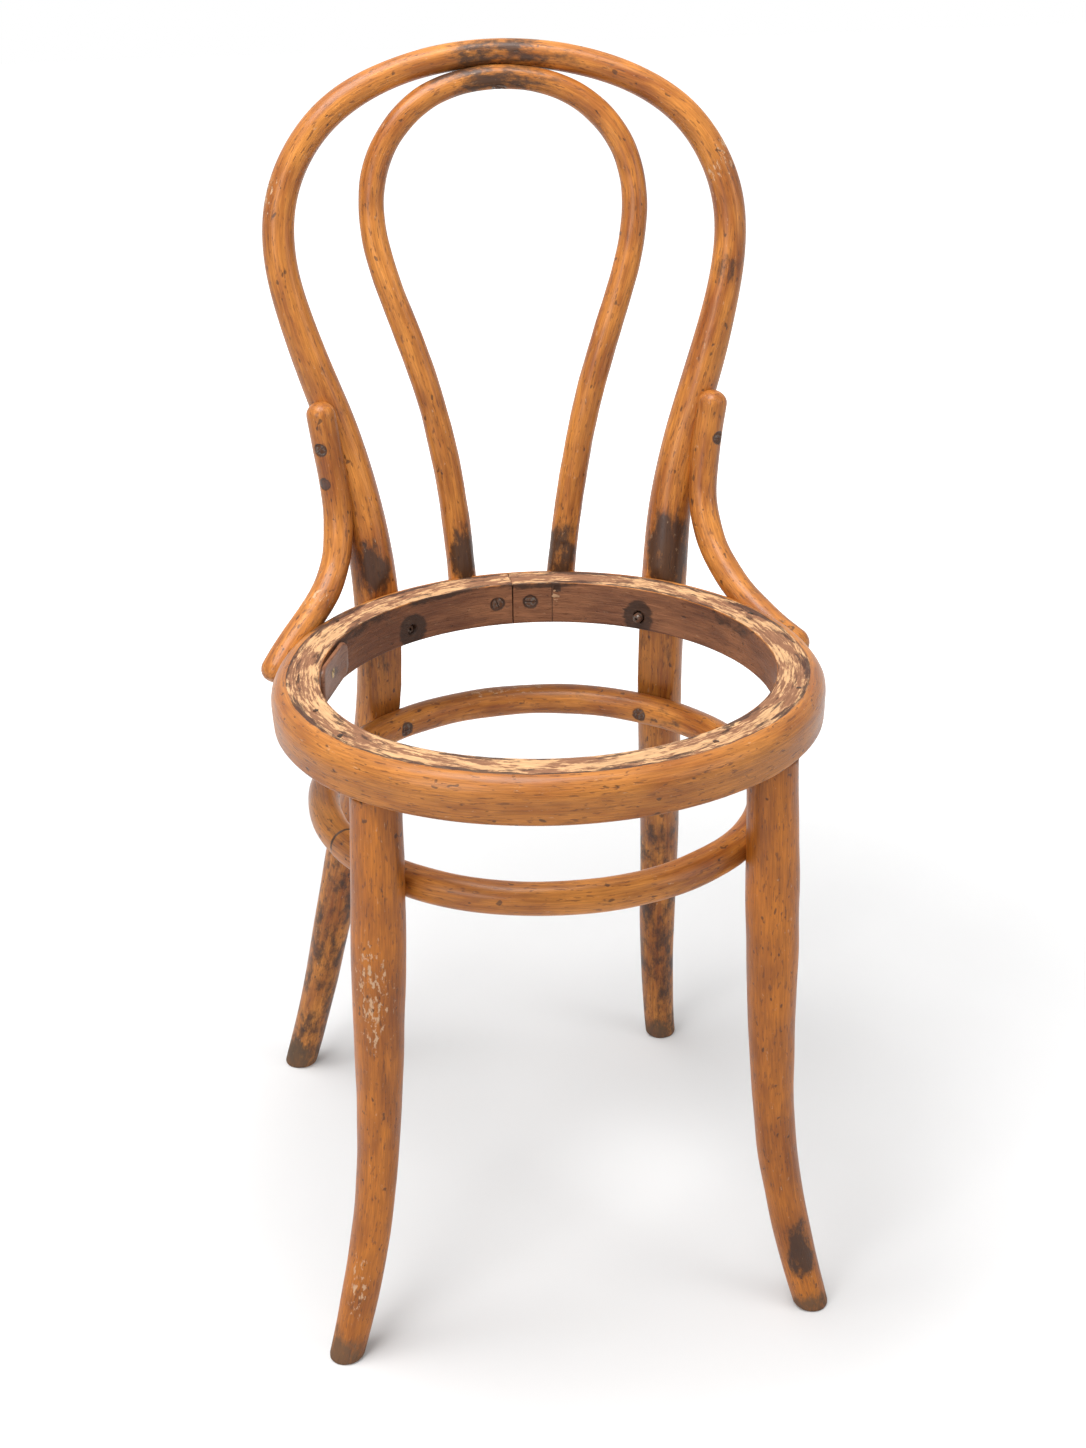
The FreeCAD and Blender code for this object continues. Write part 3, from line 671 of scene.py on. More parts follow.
class NodeSheet:
    """Adds nodes to one node tree and joins them."""

    def __init__(self, tree: bpy.types.NodeTree) -> None:
        """Start with an empty tree."""
        self.tree = tree
        tree.nodes.clear()

    def add(self, kind: str, **settings: object) -> bpy.types.Node:
        """New node with some of its settings given."""
        node = self.tree.nodes.new(kind)
        for name, value in settings.items():
            setattr(node, name, value)
        return node

    def put(self, socket: bpy.types.NodeSocket, value: object) -> None:
        """Join a socket to another, or set its own value."""
        if isinstance(value, bpy.types.NodeSocket):
            self.tree.links.new(value, socket)
        else:
            socket.default_value = value

    def fill(self, node: bpy.types.Node, values: dict[str, object]) -> bpy.types.Node:
        """Join or set the named inputs of a node."""
        for name, value in values.items():
            self.put(node.inputs[name], value)
        return node

    def noise(self, vector: bpy.types.NodeSocket, scale: float, detail: float = 3.0,
              roughness: float = 0.55, distortion: float = 0.0) -> bpy.types.NodeSocket:
        """Smooth noise between about 0.2 and 0.8 in space."""
        values = {"Vector": vector, "Scale": scale, "Detail": detail, "Roughness": roughness,
                  "Distortion": distortion}
        return self.fill(self.add("ShaderNodeTexNoise"), values).outputs["Fac"]

    def stretched(self, vector: bpy.types.NodeSocket, across: float, along: float,
                  shift: float = 0.0) -> bpy.types.NodeSocket:
        """Grain coordinates scaled across and along the grain."""
        values = {"Vector": vector, "Location": (shift, -shift, 2.0 * shift),
                  "Scale": (across, across, along)}
        return self.fill(self.add("ShaderNodeMapping"), values).outputs["Vector"]

    def steps(self, value: bpy.types.NodeSocket, low: float, high: float,
              low_out: float = 0.0, high_out: float = 1.0) -> bpy.types.NodeSocket:
        """Value carried smoothly from one range to another and held at its ends."""
        values = {"Value": value, "From Min": low, "From Max": high, "To Min": low_out, "To Max": high_out}
        node = self.add("ShaderNodeMapRange", interpolation_type="SMOOTHSTEP")
        return self.fill(node, values).outputs["Result"]

    def reckon(self, operation: str, first: object, second: object,
               held: bool = False) -> bpy.types.NodeSocket:
        """One arithmetic step between two values, held between 0 and 1 if wanted."""
        node = self.add("ShaderNodeMath", operation=operation, use_clamp=held)
        self.put(node.inputs[0], first)
        self.put(node.inputs[1], second)
        return node.outputs["Value"]

    def times(self, first: object, second: object) -> bpy.types.NodeSocket:
        """Product of two values."""
        return self.reckon("MULTIPLY", first, second)

    def plus(self, first: object, second: object, held: bool = False) -> bpy.types.NodeSocket:
        """Sum of two values."""
        return self.reckon("ADD", first, second, held)

    def minus(self, first: object, second: object, held: bool = False) -> bpy.types.NodeSocket:
        """Difference of two values."""
        return self.reckon("SUBTRACT", first, second, held)

    def most(self, first: object, second: object) -> bpy.types.NodeSocket:
        """The greater of two values."""
        return self.reckon("MAXIMUM", first, second)

    def blend(self, share: object, first: object, second: object,
              kind: str = "MIX") -> bpy.types.NodeSocket:
        """Two colours mixed by a share."""
        node = self.add("ShaderNodeMix", data_type="RGBA", blend_type=kind, clamp_factor=True)
        return self.fill(node, {"Factor": share, "A": first, "B": second}).outputs["Result"]

    def attribute(self, name: str, output: str = "Fac") -> bpy.types.NodeSocket:
        """A value kept on the mesh."""
        node = self.add("ShaderNodeAttribute", attribute_name=name)
        return node.outputs[output]


def opaque(colour: Colour) -> tuple[float, float, float, float]:
    """Colour with full cover, as sockets want it."""
    return (*colour, 1.0)


def new_group(name: str, inputs: dict[str, str], outputs: dict[str, str]
              ) -> tuple[bpy.types.NodeTree, NodeSheet, bpy.types.Node, bpy.types.Node]:
    """Empty shader group with named sockets.

    Args:
        name: The group's name.
        inputs: Socket names and kinds that go in.
        outputs: Socket names and kinds that come out.

    Returns:
        The tree, its sheet, its input node and its output node.
    """
    tree = bpy.data.node_groups.new(name, "ShaderNodeTree")
    for label, kind in inputs.items():
        tree.interface.new_socket(label, in_out="INPUT", socket_type=kind)
    for label, kind in outputs.items():
        tree.interface.new_socket(label, in_out="OUTPUT", socket_type=kind)
    sheet = NodeSheet(tree)
    return tree, sheet, sheet.add("NodeGroupInput"), sheet.add("NodeGroupOutput")


FLOAT, COLOUR, VECTOR = "NodeSocketFloat", "NodeSocketColor", "NodeSocketVector"


class SharedEffects:
    """Shader groups that several finishes use, built once."""

    def __init__(self) -> None:
        """Build every group."""
        self.long_grain = self.build_long_grain()
        self.old_varnish = self.build_old_varnish()
        self.torn_wood = self.build_torn_wood()
        self.rusting = self.build_rusting()

    @staticmethod
    def build_long_grain() -> bpy.types.NodeTree:
        """Long fibres, broad streaks, ray flecks and cloudy tone of steamed beech."""
        tree, sheet, start, end = new_group(
            "long_grain", {"Grain": VECTOR},
            {"Fibre": FLOAT, "Streak": FLOAT, "Fleck": FLOAT, "Tone": FLOAT, "Nick": FLOAT})
        grain = start.outputs["Grain"]
        fibre = sheet.noise(sheet.stretched(grain, 1.0, 0.05), 1050.0, 4.0, 0.6)
        streak = sheet.noise(sheet.stretched(grain, 1.0, 0.09, 0.3), 210.0, 3.0, 0.6, 0.4)
        fleck = sheet.noise(sheet.stretched(grain, 1.0, 0.22, 0.7), 620.0, 2.0, 0.5)
        tone = sheet.noise(sheet.stretched(grain, 1.0, 0.45, 1.1), 34.0, 3.0, 0.6)
        nick = sheet.noise(sheet.stretched(grain, 1.0, 0.6, 1.9), 230.0, 1.0, 0.5)
        sheet.fill(end, {
            "Fibre": sheet.steps(fibre, 0.3, 0.7), "Streak": sheet.steps(streak, 0.32, 0.68),
            "Fleck": sheet.steps(fleck, 0.6, 0.68), "Tone": sheet.steps(tone, 0.32, 0.68),
            "Nick": sheet.steps(nick, 0.7, 0.76),
        })
        return tree

    @staticmethod
    def build_old_varnish() -> bpy.types.NodeTree:
        """Old shellac on grained wood: its colours, and what dark, bare and grimy places do to it."""
        tree, sheet, start, end = new_group(
            "old_varnish",
            {"Grain": VECTOR, "Fibre": FLOAT, "Streak": FLOAT, "Fleck": FLOAT, "Tone": FLOAT, "Nick": FLOAT,
             "Light": COLOUR, "Deep": COLOUR, "Fleck Colour": COLOUR, "Stain And Shade Colour": COLOUR,
             "Bare Colour": COLOUR, "Grime Colour": COLOUR, "Dark": FLOAT, "Bare": FLOAT, "Grime": FLOAT,
             "Wear": FLOAT},
            {"Colour": COLOUR, "Roughness": FLOAT, "Varnish": FLOAT, "Height": FLOAT})
        read = start.outputs
        patches = sheet.noise(sheet.stretched(read["Grain"], 1.0, 0.5, 3.1), 95.0, 5.0, 0.7)
        chips = sheet.noise(sheet.stretched(read["Grain"], 1.0, 0.42, 4.7), 330.0, 4.0, 0.65)
        depth = sheet.plus(sheet.times(read["Tone"], 0.6), sheet.times(read["Streak"], 0.4), True)
        colour = sheet.blend(depth, read["Deep"], read["Light"])
        shade = sheet.steps(read["Fibre"], 0.0, 1.0, 0.8, 1.08)
        colour = sheet.blend(1.0, colour, shade, "MULTIPLY")
        flecks = sheet.times(read["Fleck"], 0.62)
        colour = sheet.blend(flecks, colour, read["Fleck Colour"])
        colour = sheet.blend(sheet.times(read["Nick"], 0.7), colour, read["Stain And Shade Colour"])
        # Dark stains, and the painted shade that the dark mask carries on the rear legs, turn towards the
        # stain colour
        broken = sheet.plus(read["Dark"], sheet.steps(patches, 0.25, 0.75, -0.42, 0.42))
        dark = sheet.times(sheet.steps(broken, 0.25, 0.85), 0.92)
        lone = sheet.steps(patches, 0.64, 0.72, 0.0, 0.45)
        dark = sheet.most(dark, sheet.times(lone, read["Wear"]))
        colour = sheet.blend(dark, colour, read["Stain And Shade Colour"])
        worn = sheet.plus(read["Bare"], sheet.steps(chips, 0.25, 0.75, -0.5, 0.5))
        bare = sheet.steps(worn, 0.38, 0.62)
        scattered = sheet.times(sheet.steps(chips, 0.7, 0.74), read["Wear"])
        bare = sheet.most(bare, sheet.times(scattered, 0.8))
        colour = sheet.blend(sheet.times(bare, 0.85), colour, read["Bare Colour"])
        dirty = sheet.plus(read["Grime"], sheet.steps(patches, 0.25, 0.75, -0.35, 0.35))
        grime = sheet.times(sheet.steps(dirty, 0.2, 0.8), 0.85)
        colour = sheet.blend(grime, colour, read["Grime Colour"])
        dull = sheet.most(bare, grime)
        rough = sheet.plus(sheet.steps(read["Tone"], 0.0, 1.0, 0.36, 0.5),
                          sheet.times(read["Fibre"], 0.08))
        rough = sheet.plus(rough, sheet.times(dull, 0.32), True)
        height = sheet.times(read["Fibre"], 0.35)
        height = sheet.minus(height, sheet.times(read["Fleck"], 0.4))
        height = sheet.minus(height, sheet.times(bare, 0.7))
        height = sheet.minus(height, sheet.times(read["Nick"], 0.8))
        height = sheet.plus(height, sheet.times(chips, 0.5))
        varnish = sheet.minus(0.3, sheet.times(dull, 0.3), True)
        sheet.fill(end, {"Colour": colour, "Roughness": rough, "Varnish": varnish, "Height": height})
        return tree

    @staticmethod
    def build_torn_wood() -> bpy.types.NodeTree:
        """Bare wood torn up by an old glued panel: pale fibres, pink-brown wood and dark glue."""
        tree, sheet, start, end = new_group(
            "torn_wood",
            {"Grain": VECTOR, "Across": FLOAT, "Pale": COLOUR, "Worn": COLOUR, "Glue": COLOUR},
            {"Colour": COLOUR, "Roughness": FLOAT, "Height": FLOAT})
        read = start.outputs
        rags = sheet.noise(sheet.stretched(read["Grain"], 1.0, 0.16, 0.2), 190.0, 6.0, 0.68, 0.3)
        shreds = sheet.noise(sheet.stretched(read["Grain"], 1.0, 0.1, 2.2), 560.0, 5.0, 0.7)
        islands = sheet.noise(sheet.stretched(read["Grain"], 1.0, 0.3, 5.1), 85.0, 4.0, 0.65)
        edge = sheet.steps(read["Across"], 0.72, 1.0, 0.0, 0.16)
        inner = sheet.steps(read["Across"], 0.0, 0.3, 0.1, 0.0)
        glued = sheet.plus(sheet.plus(rags, edge), inner)
        glue = sheet.steps(glued, 0.56, 0.64)
        torn = sheet.steps(sheet.plus(shreds, sheet.steps(islands, 0.3, 0.7, -0.18, 0.18)), 0.44, 0.58)
        colour = sheet.blend(torn, read["Worn"], read["Pale"])
        fibres = sheet.steps(shreds, 0.3, 0.7, 0.72, 1.1)
        colour = sheet.blend(1.0, colour, fibres, "MULTIPLY")
        colour = sheet.blend(sheet.times(glue, 0.88), colour, read["Glue"])
        height = sheet.minus(sheet.times(shreds, 1.2), sheet.times(glue, 0.5))
        rough = sheet.steps(glue, 0.0, 1.0, 0.86, 0.55)
        sheet.fill(end, {"Colour": colour, "Roughness": rough, "Height": height})
        return tree

    @staticmethod
    def build_rusting() -> bpy.types.NodeTree:
        """Metal dulled by age, with brown rust in cloudy spots."""
        tree, sheet, start, end = new_group(
            "rusting", {"Place": VECTOR, "Metal": COLOUR, "Rust": COLOUR, "Amount": FLOAT},
            {"Colour": COLOUR, "Roughness": FLOAT, "Metallic": FLOAT, "Height": FLOAT})
        read = start.outputs
        clouds = sheet.noise(read["Place"], 420.0, 4.0, 0.65)
        grit = sheet.noise(read["Place"], 1900.0, 3.0, 0.6)
        spots = sheet.steps(sheet.plus(clouds, sheet.times(read["Amount"], 0.4)), 0.5, 0.8)
        metal = sheet.blend(1.0, read["Metal"], sheet.steps(grit, 0.3, 0.7, 0.7, 1.15), "MULTIPLY")
        sheet.fill(end, {
            "Colour": sheet.blend(spots, metal, read["Rust"]),
            "Roughness": sheet.steps(spots, 0.0, 1.0, 0.36, 0.82),
            "Metallic": sheet.steps(spots, 0.0, 1.0, 0.95, 0.25),
            "Height": sheet.plus(grit, spots),
        })
        return tree


def place_group(sheet: NodeSheet, tree: bpy.types.NodeTree, values: dict[str, object]) -> bpy.types.Node:
    """Group node with its inputs set or joined."""
    return sheet.fill(sheet.add("ShaderNodeGroup", node_tree=tree), values)


def finish_surface(sheet: NodeSheet, colour: object, roughness: object, height: object,
                   relief: float, metallic: object = 0.0, varnish: object = 0.0) -> None:
    """Principled surface with a bump, joined to the material's output.

    Args:
        sheet: The material's node sheet.
        colour: Base colour.
        roughness: Roughness.
        height: Height of the fine relief, about 0 to 1.
        relief: How deep that relief is, in metres.
        metallic: Metalness.
        varnish: Weight of the clear coat.
    """
    bump = sheet.fill(sheet.add("ShaderNodeBump"), {"Strength": 0.8, "Distance": relief, "Height": height})
    surface = sheet.fill(sheet.add("ShaderNodeBsdfPrincipled"), {
        "Base Color": colour, "Roughness": roughness, "Metallic": metallic, "Coat Weight": varnish,
        "Coat Roughness": 0.28, "Specular IOR Level": 0.2, "Normal": bump.outputs["Normal"],
    })
    output = sheet.add("ShaderNodeOutputMaterial")
    sheet.put(output.inputs["Surface"], surface.outputs["BSDF"])


def new_material(name: str) -> tuple[bpy.types.Material, NodeSheet]:
    """Material with an empty node sheet."""
    material = bpy.data.materials.new(name)
    material.use_nodes = True
    return material, NodeSheet(material.node_tree)


@dataclass(frozen=True)
class WoodFinish:
    """Varnished bent or turned beech."""

    name: str
    light: Colour
    deep: Colour
    fleck: Colour = (0.11, 0.036, 0.012)
    # Colour of stains and nicks; on the back bow it also paints the shade low on the rear legs
    stain: Colour = (0.035, 0.016, 0.009)
    bare: Colour = (0.64, 0.42, 0.26)
    grime: Colour = (0.12, 0.078, 0.05)
    wear: float = 0.6
    relief: float = 0.0004

    def varnished(self, sheet: NodeSheet, effects: SharedEffects) -> bpy.types.Node:
        """The varnish group placed with this finish's colours on the piece's own grain."""
        grain = sheet.attribute("grain", "Vector")
        long_grain = place_group(sheet, effects.long_grain, {"Grain": grain})
        values: dict[str, object] = {name: long_grain.outputs[name]
                                     for name in ("Fibre", "Streak", "Fleck", "Tone", "Nick")}
        values.update({
            "Grain": grain, "Light": opaque(self.light), "Deep": opaque(self.deep),
            "Fleck Colour": opaque(self.fleck), "Stain And Shade Colour": opaque(self.stain),
            "Bare Colour": opaque(self.bare), "Grime Colour": opaque(self.grime), "Wear": self.wear,
        })
        for mark in Mark:
            values[mark.name.title()] = sheet.attribute(mark.value)
        return place_group(sheet, effects.old_varnish, values)

    def build(self, effects: SharedEffects) -> bpy.types.Material:
        """Make the material."""
        material, sheet = new_material(self.name)
        old = self.varnished(sheet, effects).outputs
        finish_surface(sheet, old["Colour"], old["Roughness"], old["Height"], self.relief,
                       varnish=old["Varnish"])
        return material


@dataclass(frozen=True)
class RingFinish:
    """Seat ring: varnished outside, raw inside, torn and glued on top."""

    outside: WoodFinish
    inside: WoodFinish
    pale: Colour = (0.66, 0.39, 0.2)
    worn: Colour = (0.3, 0.145, 0.08)
    glue: Colour = (0.055, 0.026, 0.019)
    relief: float = 0.0006

    def build(self, effects: SharedEffects) -> bpy.types.Material:
        """Make the material from its three surfaces, shared out by masks on the mesh."""
        material, sheet = new_material(self.outside.name)
        outer = self.outside.varnished(sheet, effects).outputs
        inner = self.inside.varnished(sheet, effects).outputs
        torn = place_group(sheet, effects.torn_wood, {
            "Grain": sheet.attribute("grain", "Vector"), "Across": sheet.attribute("across"),
            "Pale": opaque(self.pale), "Worn": opaque(self.worn), "Glue": opaque(self.glue),
        }).outputs
        inward = sheet.attribute("inward")
        tears = sheet.stretched(sheet.attribute("grain", "Vector"), 1.0, 0.25, 6.0)
        edge = sheet.noise(tears, 160.0, 5.0, 0.7)
        ragged = sheet.plus(sheet.attribute("torn"), sheet.steps(edge, 0.25, 0.75, -0.35, 0.35))
        top = sheet.steps(ragged, 0.44, 0.56)
        varnish = sheet.times(outer["Varnish"], sheet.minus(1.0, inward))
        parts = {}
        for name in ("Colour", "Roughness", "Height"):
            both = sheet.blend(inward, outer[name], inner[name])
            parts[name] = sheet.blend(top, both, torn[name])
        varnish = sheet.times(varnish, sheet.minus(1.0, top))
        finish_surface(sheet, parts["Colour"], parts["Roughness"], parts["Height"], self.relief,
                       varnish=varnish)
        return material


@dataclass(frozen=True)
class MetalFinish:
    """Old iron, steel or brass."""

    name: str
    metal: Colour
    rust: Colour = (0.11, 0.045, 0.022)
    amount: float = 0.5
    relief: float = 0.00015

    def build(self, effects: SharedEffects) -> bpy.types.Material:
        """Make the material."""
        material, sheet = new_material(self.name)
        place = sheet.add("ShaderNodeTexCoord").outputs["Object"]
        old = place_group(sheet, effects.rusting, {
            "Place": place, "Metal": opaque(self.metal), "Rust": opaque(self.rust), "Amount": self.amount,
        }).outputs
        finish_surface(sheet, old["Colour"], old["Roughness"], old["Height"], self.relief, old["Metallic"])
        return material


class Finishes:
    """All materials of the chair."""

    def __init__(self) -> None:
        """Build each finish once."""
        effects = SharedEffects()
        honey = WoodFinish("honey_bent_beech", (0.62, 0.235, 0.042), (0.25, 0.066, 0.010))
        legs = WoodFinish("turned_beech", (0.55, 0.175, 0.018), (0.26, 0.07, 0.007), wear=0.8)
        ring = WoodFinish("seat_ring_beech", (0.54, 0.205, 0.04), (0.28, 0.08, 0.011))
        raw = WoodFinish("raw_inner_beech", (0.28, 0.115, 0.052), (0.12, 0.042, 0.02),
                         bare=(0.5, 0.3, 0.17), relief=0.0007)
        patch = WoodFinish("stained_patch_wood", (0.3, 0.13, 0.065), (0.15, 0.055, 0.025))
        plug = WoodFinish("plug_wood", (0.16, 0.06, 0.03), (0.06, 0.025, 0.015))
        self.bent = honey.build(effects)
        self.leg = legs.build(effects)
        self.ring = RingFinish(ring, raw).build(effects)
        self.patch = patch.build(effects)
        self.plug = plug.build(effects)
        self.iron = MetalFinish("blackened_iron", (0.055, 0.048, 0.044), amount=0.35).build(effects)
        self.steel = MetalFinish("dull_steel", (0.15, 0.135, 0.12), amount=0.5).build(effects)
        self.brass = MetalFinish("old_brass", (0.6, 0.43, 0.2), (0.2, 0.11, 0.05), 0.3).build(effects)


# Sub-assemblies

def read_round(turn: float, turns: np.ndarray, values: np.ndarray) -> float:
    """Value at an angle, read from a table whose angles rise through one full turn."""
    while turn < turns[0]:
        turn += FULL_TURN
    while turn > turns[-1]:
        turn -= FULL_TURN
    return float(np.interp(turn, turns, values))


def mirrored_stations(half: Sequence[Sequence[float]]) -> np.ndarray:
    """Both sides of a half outline, from left foot to right foot, swayed and turned a little.

    Each row holds half the spread, the depth, the height, the radius and the sway.
    """
    spread, depth, height, radius, sway = np.array(half).T
    left = np.stack([sway - spread, depth, height, radius], axis=-1)
    right = np.stack([sway + spread, depth, height, radius], axis=-1)
    stations = np.concatenate([left, right[-2::-1]])
    turn = math.radians(BACK_TURN_DEGREES)
    centre = np.array([0.0, BACK_CENTRE_DEPTH])
    flat = stations[:, :2] - centre
    spin = np.array([[math.cos(turn), math.sin(turn)], [-math.sin(turn), math.cos(turn)]])
    stations[:, :2] = flat @ spin + centre
    return stations


@dataclass
class OvalPlan:
    """The ring's inner wall in plan: four arcs that meet smoothly."""

    half_width: float = 160.0
    half_depth: float = 151.7
    side_centre: tuple[float, float] = (23.2, -8.0)

    def __post_init__(self) -> None:
        """Work out the arcs and tabulate the wall."""
        side_x, side_y = self.side_centre
        side_radius = self.half_width - side_x
        spare = self.half_depth - side_radius
        reach = spare ** 2 - side_x ** 2 - side_y ** 2
        rear_y = reach / (2 * (spare - side_y))
        front_y = -reach / (2 * (spare + side_y))
        rear = math.atan2(side_y - rear_y, side_x)
        front = math.atan2(side_y - front_y, side_x)
        arcs = [
            (front, rear, (side_x, side_y), side_radius),
            (rear, math.pi - rear, (0.0, rear_y), self.half_depth - rear_y),
            (math.pi - rear, math.pi - front, (-side_x, side_y), side_radius),
            (math.pi - front, FULL_TURN + front, (0.0, front_y), self.half_depth + front_y),
        ]
        lengths = [(last - first) * radius for first, last, _, radius in arcs]
        self.starts = np.concatenate([[0.0], np.cumsum(lengths)])
        self.length = float(self.starts[-1])
        self.first = np.array([arc[0] for arc in arcs])
        self.centres = np.array([arc[2] for arc in arcs])
        self.radii = np.array([arc[3] for arc in arcs])
        self.table = np.linspace(0.0, self.length, 4001)
        wall = self.wall(self.table)[0]
        self.headings = np.unwrap(np.arctan2(wall[:, 1], wall[:, 0]))

    def wall(self, places: np.ndarray) -> tuple[np.ndarray, np.ndarray]:
        """Points of the inner wall and the directions square to it, at places round it."""
        places = np.mod(places, self.length)
        arc = np.clip(np.searchsorted(self.starts, places, side="right") - 1, 0, 3)
        turn = self.first[arc] + (places - self.starts[arc]) / self.radii[arc]
        out = np.stack([np.cos(turn), np.sin(turn), np.zeros_like(turn)], axis=-1)
        centres = np.concatenate([self.centres[arc], np.zeros(arc.shape + (1,))], axis=-1)
        return centres + self.radii[arc][..., None] * out, out

    def place_at(self, degrees: float) -> float:
        """Place round the wall at a heading from the seat's centre."""
        return read_round(math.radians(degrees), self.headings, self.table)

    def reach(self, direction: np.ndarray, thickness: float = 0.0) -> float:
        """Distance from the seat's centre to the wall, or further out in the bar."""
        points, out = self.wall(self.table)
        points = points + thickness * out
        turns = np.unwrap(np.arctan2(points[:, 1], points[:, 0]))
        return read_round(math.atan2(direction[1], direction[0]), turns, np.linalg.norm(points, axis=1))


@dataclass
class PostSeat:
    """Where a rear post is planed, bolted and washered against the ring."""

    side: Side
    line: BentLine
    plan: OvalPlan
    sticks_out: float
    flat_depth: float = 1.5

    def __post_init__(self) -> None:
        """Work out the flat, the bolt's axis and its two ends."""
        mark = self.line.at_height(BOLT_HEIGHT, self.side)
        post = self.line.point(mark)
        radius = float(self.line.at(np.array([mark]))[2][0])
        self.outward = level(post)
        outside = self.plan.reach(self.outward, RING_BAR_WIDTH)
        self.contact = self.outward * (outside - self.flat_depth) + UP * BOLT_HEIGHT
        self.back = post + self.outward * (radius - WASHER_THICKNESS)
        inner = self.plan.reach(self.outward)
        self.hole_mouth = self.outward * inner + UP * BOLT_HEIGHT
        self.tip = self.outward * (inner - self.sticks_out) + UP * BOLT_HEIGHT


@dataclass
class BackBow:
    """Rear legs and outer bow, one bent rod."""

    half: Sequence[Sequence[float]] = (
        (165.2, 269.6, -12.0, 12.7, -20.6), (151.2, 256.4, 70.6, 14.1, -13.7),
        (142.5, 247.0, 142.1, 15.2, -7.3), (134.9, 233.0, 213.1, 16.0, -1.5),
        (125.9, 207.0, 280.8, 16.6, 2.0), (116.2, 174.0, 344.5, 16.9, 5.1),
        (110.4, 160.0, 413.9, 17.3, 8.2), (112.2, 166.4, 486.0, 17.2, 10.2),
        (121.0, 180.0, 556.9, 16.0, 10.3), (139.2, 188.2, 626.7, 14.3, 10.4),
        (160.0, 195.5, 695.8, 12.5, 9.0), (165.7, 206.9, 766.8, 11.6, 7.9),
        (133.2, 220.7, 828.7, 10.9, 7.9), (71.1, 239.5, 860.7, 10.1, 7.8),
        (0.0, 248.3, 870.0, 10.0, 7.8),
    )
    step: float = 2.1
    sides: int = 52
    flat_half_height: float = 110.0
    spot_radius: float = WASHER_RADIUS + 0.4
    spot_reach: float = 12.0
    # Painted shade, with some of the wood's own darker tone, low on the rear legs: where it starts, how far
    # down it grows, and its strength
    shade_top: float = 440.0
    shade_run: float = 260.0
    shade_share: float = 0.46

    def __post_init__(self) -> None:
        """Lay the rod's line."""
        self.line = BentLine(mirrored_stations(self.half))

    def stains(self) -> list[Stain]:
        """Dark places by the ring and the crown, darker legs, dirty feet."""
        return [
            Stain(Mark.DARK, (-103, 152, 512), (26, 26, 38), 0.95),
            Stain(Mark.DARK, (123, 150, 510), (26, 30, 52), 1.0),
            Stain(Mark.DARK, (14, 240, 866), (72, 34, 26), 0.62),
            Stain(Mark.DARK, (174, 190, 716), (14, 22, 26), 0.7),
            Stain(Mark.DARK, (-104, 170, 428), (26, 40, 34), 0.42),
            Stain(Mark.DARK, (120, 164, 425), (26, 40, 40), 0.42),
            Stain(Mark.DARK, (-110, 184, 366), (30, 40, 34), 0.34),
            Stain(Mark.DARK, (124, 180, 366), (30, 40, 34), 0.34),
            Stain(Mark.BARE, (-168, 215, 790), (20, 20, 40), 0.32),
            Stain(Mark.BARE, (170, 205, 790), (20, 20, 46), 0.3),
            Stain(Mark.GRIME, (-186, 268, 0), (40, 40, 46), 0.8),
            Stain(Mark.GRIME, (140, 262, 0), (40, 40, 46), 0.8),
        ]

    def build(self, finishes: Finishes, seats: dict[Side, PostSeat]) -> bpy.types.Object:
        """Make the rod with its planed seats and washers' spot faces, and painted shade low on its legs."""
        skin = RodSurface(self.line, BACKWARDS, 0.0, Unevenness(0.28, 34.0, 120.0, 11))
        marks = np.linspace(0.0, self.line.length, round(self.line.length / self.step) + 1)
        points, grain = skin.rings(marks, even_turns(self.sides))
        for seat in seats.values():
            points = Flat(seat.contact, seat.outward, self.flat_half_height).plane(points)
            around, beyond = Pit(seat.back, -seat.outward, self.spot_radius, 0.0).distances(points)
            spot = (around < self.spot_radius) & (np.abs(beyond) < self.spot_reach)
            points = points + (np.clip(-beyond, 0.0, None) * spot)[..., None] * -seat.outward
        kept = soles_kept(points)
        points = skin.stand(points[kept], marks[kept])
        # Painted shade, partly the wood's own darker tone: the rear legs darken towards the floor through the
        # dark mask
        low = ease((self.shade_top - points[..., 2]) / self.shade_run) * self.shade_share
        shell = closed_tube(points, wood_values(points, grain[kept], self.stains(), low))
        return make_piece("back_bow_rod", shell, finishes.bent, ["back_bow"])


